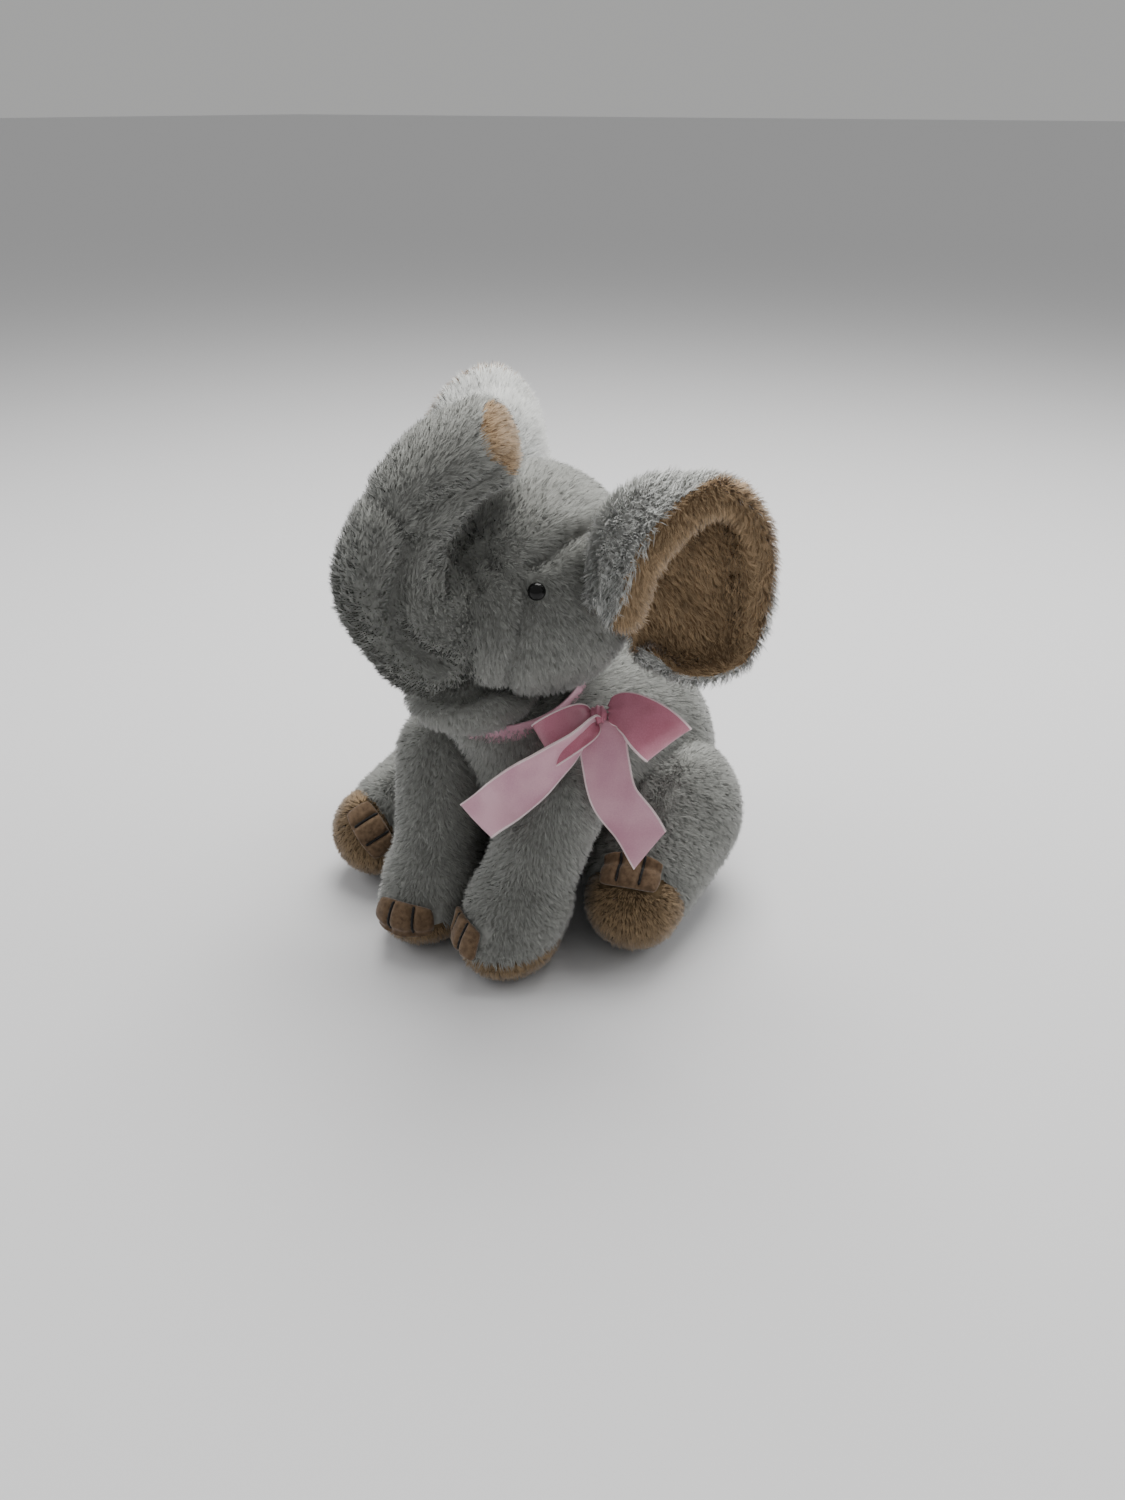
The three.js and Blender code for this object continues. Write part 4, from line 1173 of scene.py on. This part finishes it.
def satin_strip(name, path, across, materials, width=RIBBON, steps=72, pinch=None, gather=0.0,
                wave=0.0, slant=0.0, lean=0.0, lean_along=(0, 0, 0)):
    """A ribbon with a woven edge cord: a thin closed strip along a smooth path (toy mm)."""
    t = np.linspace(0, 1, steps)
    c = catmull(path, t)
    tangent = unit(np.gradient(c, axis=0))
    side = unit(across - (tangent @ unit(across))[:, None] * tangent)
    up = np.cross(tangent, side)
    share = np.ones(steps) if pinch is None else pinch(t)
    profile = [-1, -0.965, -0.93, -0.9, -0.6, -0.3, 0, 0.3, 0.6, 0.9, 0.93, 0.965, 1]
    rows = []
    for face in (1, -1):
        for w in profile:
            thick = 0.55 if abs(w) > 0.92 else 0.28
            pleat = gather * (1 - share) * np.cos(w * 9.0)
            cup = wave * np.sin(t * 5 + 0.6) * (1 - w * w)
            lift = face * thick + pleat + cup
            shear = slant * w * smooth_step(t, 0.75, 1.0)
            skew = (lean * w * np.sin(math.pi * t) ** 2)[:, None] * np.asarray(lean_along, float)
            rows.append(c + (w * width / 2 * share)[:, None] * side + lift[:, None] * up
                        + shear[:, None] * tangent + skew)
    n = len(profile)
    verts = np.stack(rows, axis=1).reshape(-1, 3)
    ring = list(range(n)) + list(range(2 * n - 1, n - 1, -1))
    faces, tags = [], []
    for i in range(steps - 1):
        for j in range(2 * n):
            a, b = ring[j], ring[(j + 1) % (2 * n)]
            faces.append((i * 2 * n + a, i * 2 * n + b, (i + 1) * 2 * n + b, (i + 1) * 2 * n + a))
            w = abs(profile[a % n]) + abs(profile[b % n])
            tags.append(1 if w > 1.88 else 0)
    for i in (0, steps - 1):
        for j in range(n - 1):
            quad = (i * 2 * n + j, i * 2 * n + j + 1, i * 2 * n + n + j + 1, i * 2 * n + n + j)
            faces.append(quad if i else quad[::-1])
            tags.append(0)
    obj = add_mesh(name, to_row(verts), faces)
    bpy.context.view_layer.update()
    fix_winding(obj)
    for m in materials:
        obj.data.materials.append(m)
    obj.data.polygons.foreach_set("material_index", np.array(tags, dtype=np.int32))
    length = np.sum(np.linalg.norm(np.diff(c, axis=0), axis=1))
    return obj, length


def loop_path(direction, across, length, rise):
    out = unit(np.array(direction))
    across = unit(np.array(across) - out * (out @ np.array(across)))
    away = np.cross(out, across)
    away = -away if away[1] > 0 else away
    shape = [(0.10, 1.0), (0.3, 5.4), (0.6, 8.4), (0.88, 6.6), (1.02, 0.6), (0.9, -6.2), (0.5, -7.4),
             (0.10, -1.0)]
    lifted = [KNOT + out * along * length + away * off
              + across * rise * math.sin(math.pi * min(along, 1) ** 0.7) for along, off in shape]
    return lifted, across


def build_bow():
    for word, (direction, across, length, rise, lean) in LOOPS.items():
        path, side = loop_path(direction, across, length, rise)
        # the loops wear the pink satin with painted shade
        loop, flat = satin_strip(f"bow_loop_{word}", path, side, [SATIN_PINK_SHADED, SATIN_EDGE],
                                 pinch=lambda t: 0.26 + 0.74 * np.sin(math.pi * t) ** 0.32,
                                 gather=2.2, lean=lean, lean_along=unit(np.array(direction)))
        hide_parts(f"ribbon_loop_{word}")
        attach(loop, "torso")
    for word, (across, path) in TAILS.items():
        start = KNOT + [0.5, -1.5, -2]
        tail, flat = satin_strip(f"bow_tail_{word}", [start] + path, np.array(across),
                                 [SATIN_PINK, SATIN_EDGE], gather=2.0, wave=1.2,
                                 slant=-5 if word == "back" else 4,
                                 pinch=lambda t: 0.3 + 0.7 * smooth_step(t, 0.0, 0.24))
        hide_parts(f"ribbon_tail_{word}")
        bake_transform(tail)
    build_knot()
    build_band()


def build_knot():
    """The ribbon's wrap over the middle of the bow, with folds running round it."""
    out, turns, rows = [], 40, 18
    axis = unit(np.array([0.8, 0.45, 0.1]))
    a1 = unit(np.cross(axis, [0, 0, 1]))
    a2 = np.cross(axis, a1)
    for i in range(rows):
        w = -1 + 2 * i / (rows - 1)
        r = 5.2 * math.sqrt(max(1 - 0.75 * w * w, 0.05)) + 0.45 * math.cos(w * 11)
        for k in range(turns):
            a = 2 * math.pi * k / turns
            around = math.cos(a) * a1 + 0.9 * math.sin(a) * a2
            out.append(KNOT + axis * w * 4.6 + (r + 0.25 * math.sin(3 * a + 4 * w)) * around)
    knot = add_mesh("bow_knot", to_row(np.array(out)), lathe_faces(rows, turns))
    fix_winding(knot)
    # the knot wears the pink satin with painted shade
    knot.data.materials.append(SATIN_PINK_SHADED)
    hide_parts("ribbon_knot")
    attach(knot, "torso")


def build_band():
    """The ribbon round the neck, sunk in the pile."""
    steps, profile = 120, np.linspace(-1, 1, 9)
    cx, sx = math.cos(BAND["tilt_x"]), math.sin(BAND["tilt_x"])
    cy, sy = math.cos(BAND["tilt_y"]), math.sin(BAND["tilt_y"])
    about_x = np.array([[1, 0, 0], [0, cx, -sx], [0, sx, cx]])
    about_y = np.array([[cy, 0, sy], [0, 1, 0], [-sy, 0, cy]])
    tilt = about_x @ about_y
    turn = np.linspace(0, 2 * math.pi, steps, endpoint=False)
    ways = np.stack([np.cos(turn), np.sin(turn), 0 * turn], axis=1) @ tilt.T
    middle = np.tile(BAND["at"], (steps, 1)).astype(float)
    neck = on_skin(lambda p: torso_field(p) + INSET - 1.0, middle, ways)
    reach = np.minimum(np.linalg.norm(neck - middle, axis=1), BAND["radius"])
    verts, faces = [], []
    for k in range(steps):
        a = 2 * math.pi * k / steps
        for face in (0.7, 0.0):
            for w in profile:
                crimp = 0.5 * math.sin(9 * a + 2 * w) * (1 - w * w)
                r = reach[k] + face + crimp
                verts.append(BAND["at"] + tilt @ np.array([r * math.cos(a), r * math.sin(a), w * 5.6]))
    n = len(profile)
    ring = list(range(n)) + list(range(2 * n - 1, n - 1, -1))
    for k in range(steps):
        j = (k + 1) % steps
        for i in range(2 * n):
            a, b = ring[i], ring[(i + 1) % (2 * n)]
            faces.append((k * 2 * n + a, k * 2 * n + b, j * 2 * n + b, j * 2 * n + a))
    band = add_mesh("bow_band", to_row(np.array(verts)), faces)
    fix_winding(band)
    band.data.materials.append(SATIN_PINK)
    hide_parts("ribbon_band")
    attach(band, "torso")


# ---------------------------------------------------------------- inner parts keep their CAD shape
def dress_inner_nodes():
    looks = {"pellet": PELLETS, "washer": NYLON}
    for node in frame["record"]["subparts"]:
        obj = bpy.data.objects.get(node["node"])
        if obj is None or obj.hide_render:
            continue
        for word, material in looks.items():
            if word in node["node"]:
                obj.data.materials.clear()
                obj.data.materials.append(material)


build_stage()
build_camera()
build_torso()
build_head()
build_trunk()
build_legs()
build_tail()
for each_side in SIDES:
    build_ear(each_side)
    build_eye(each_side)
build_bow()
dress_inner_nodes()
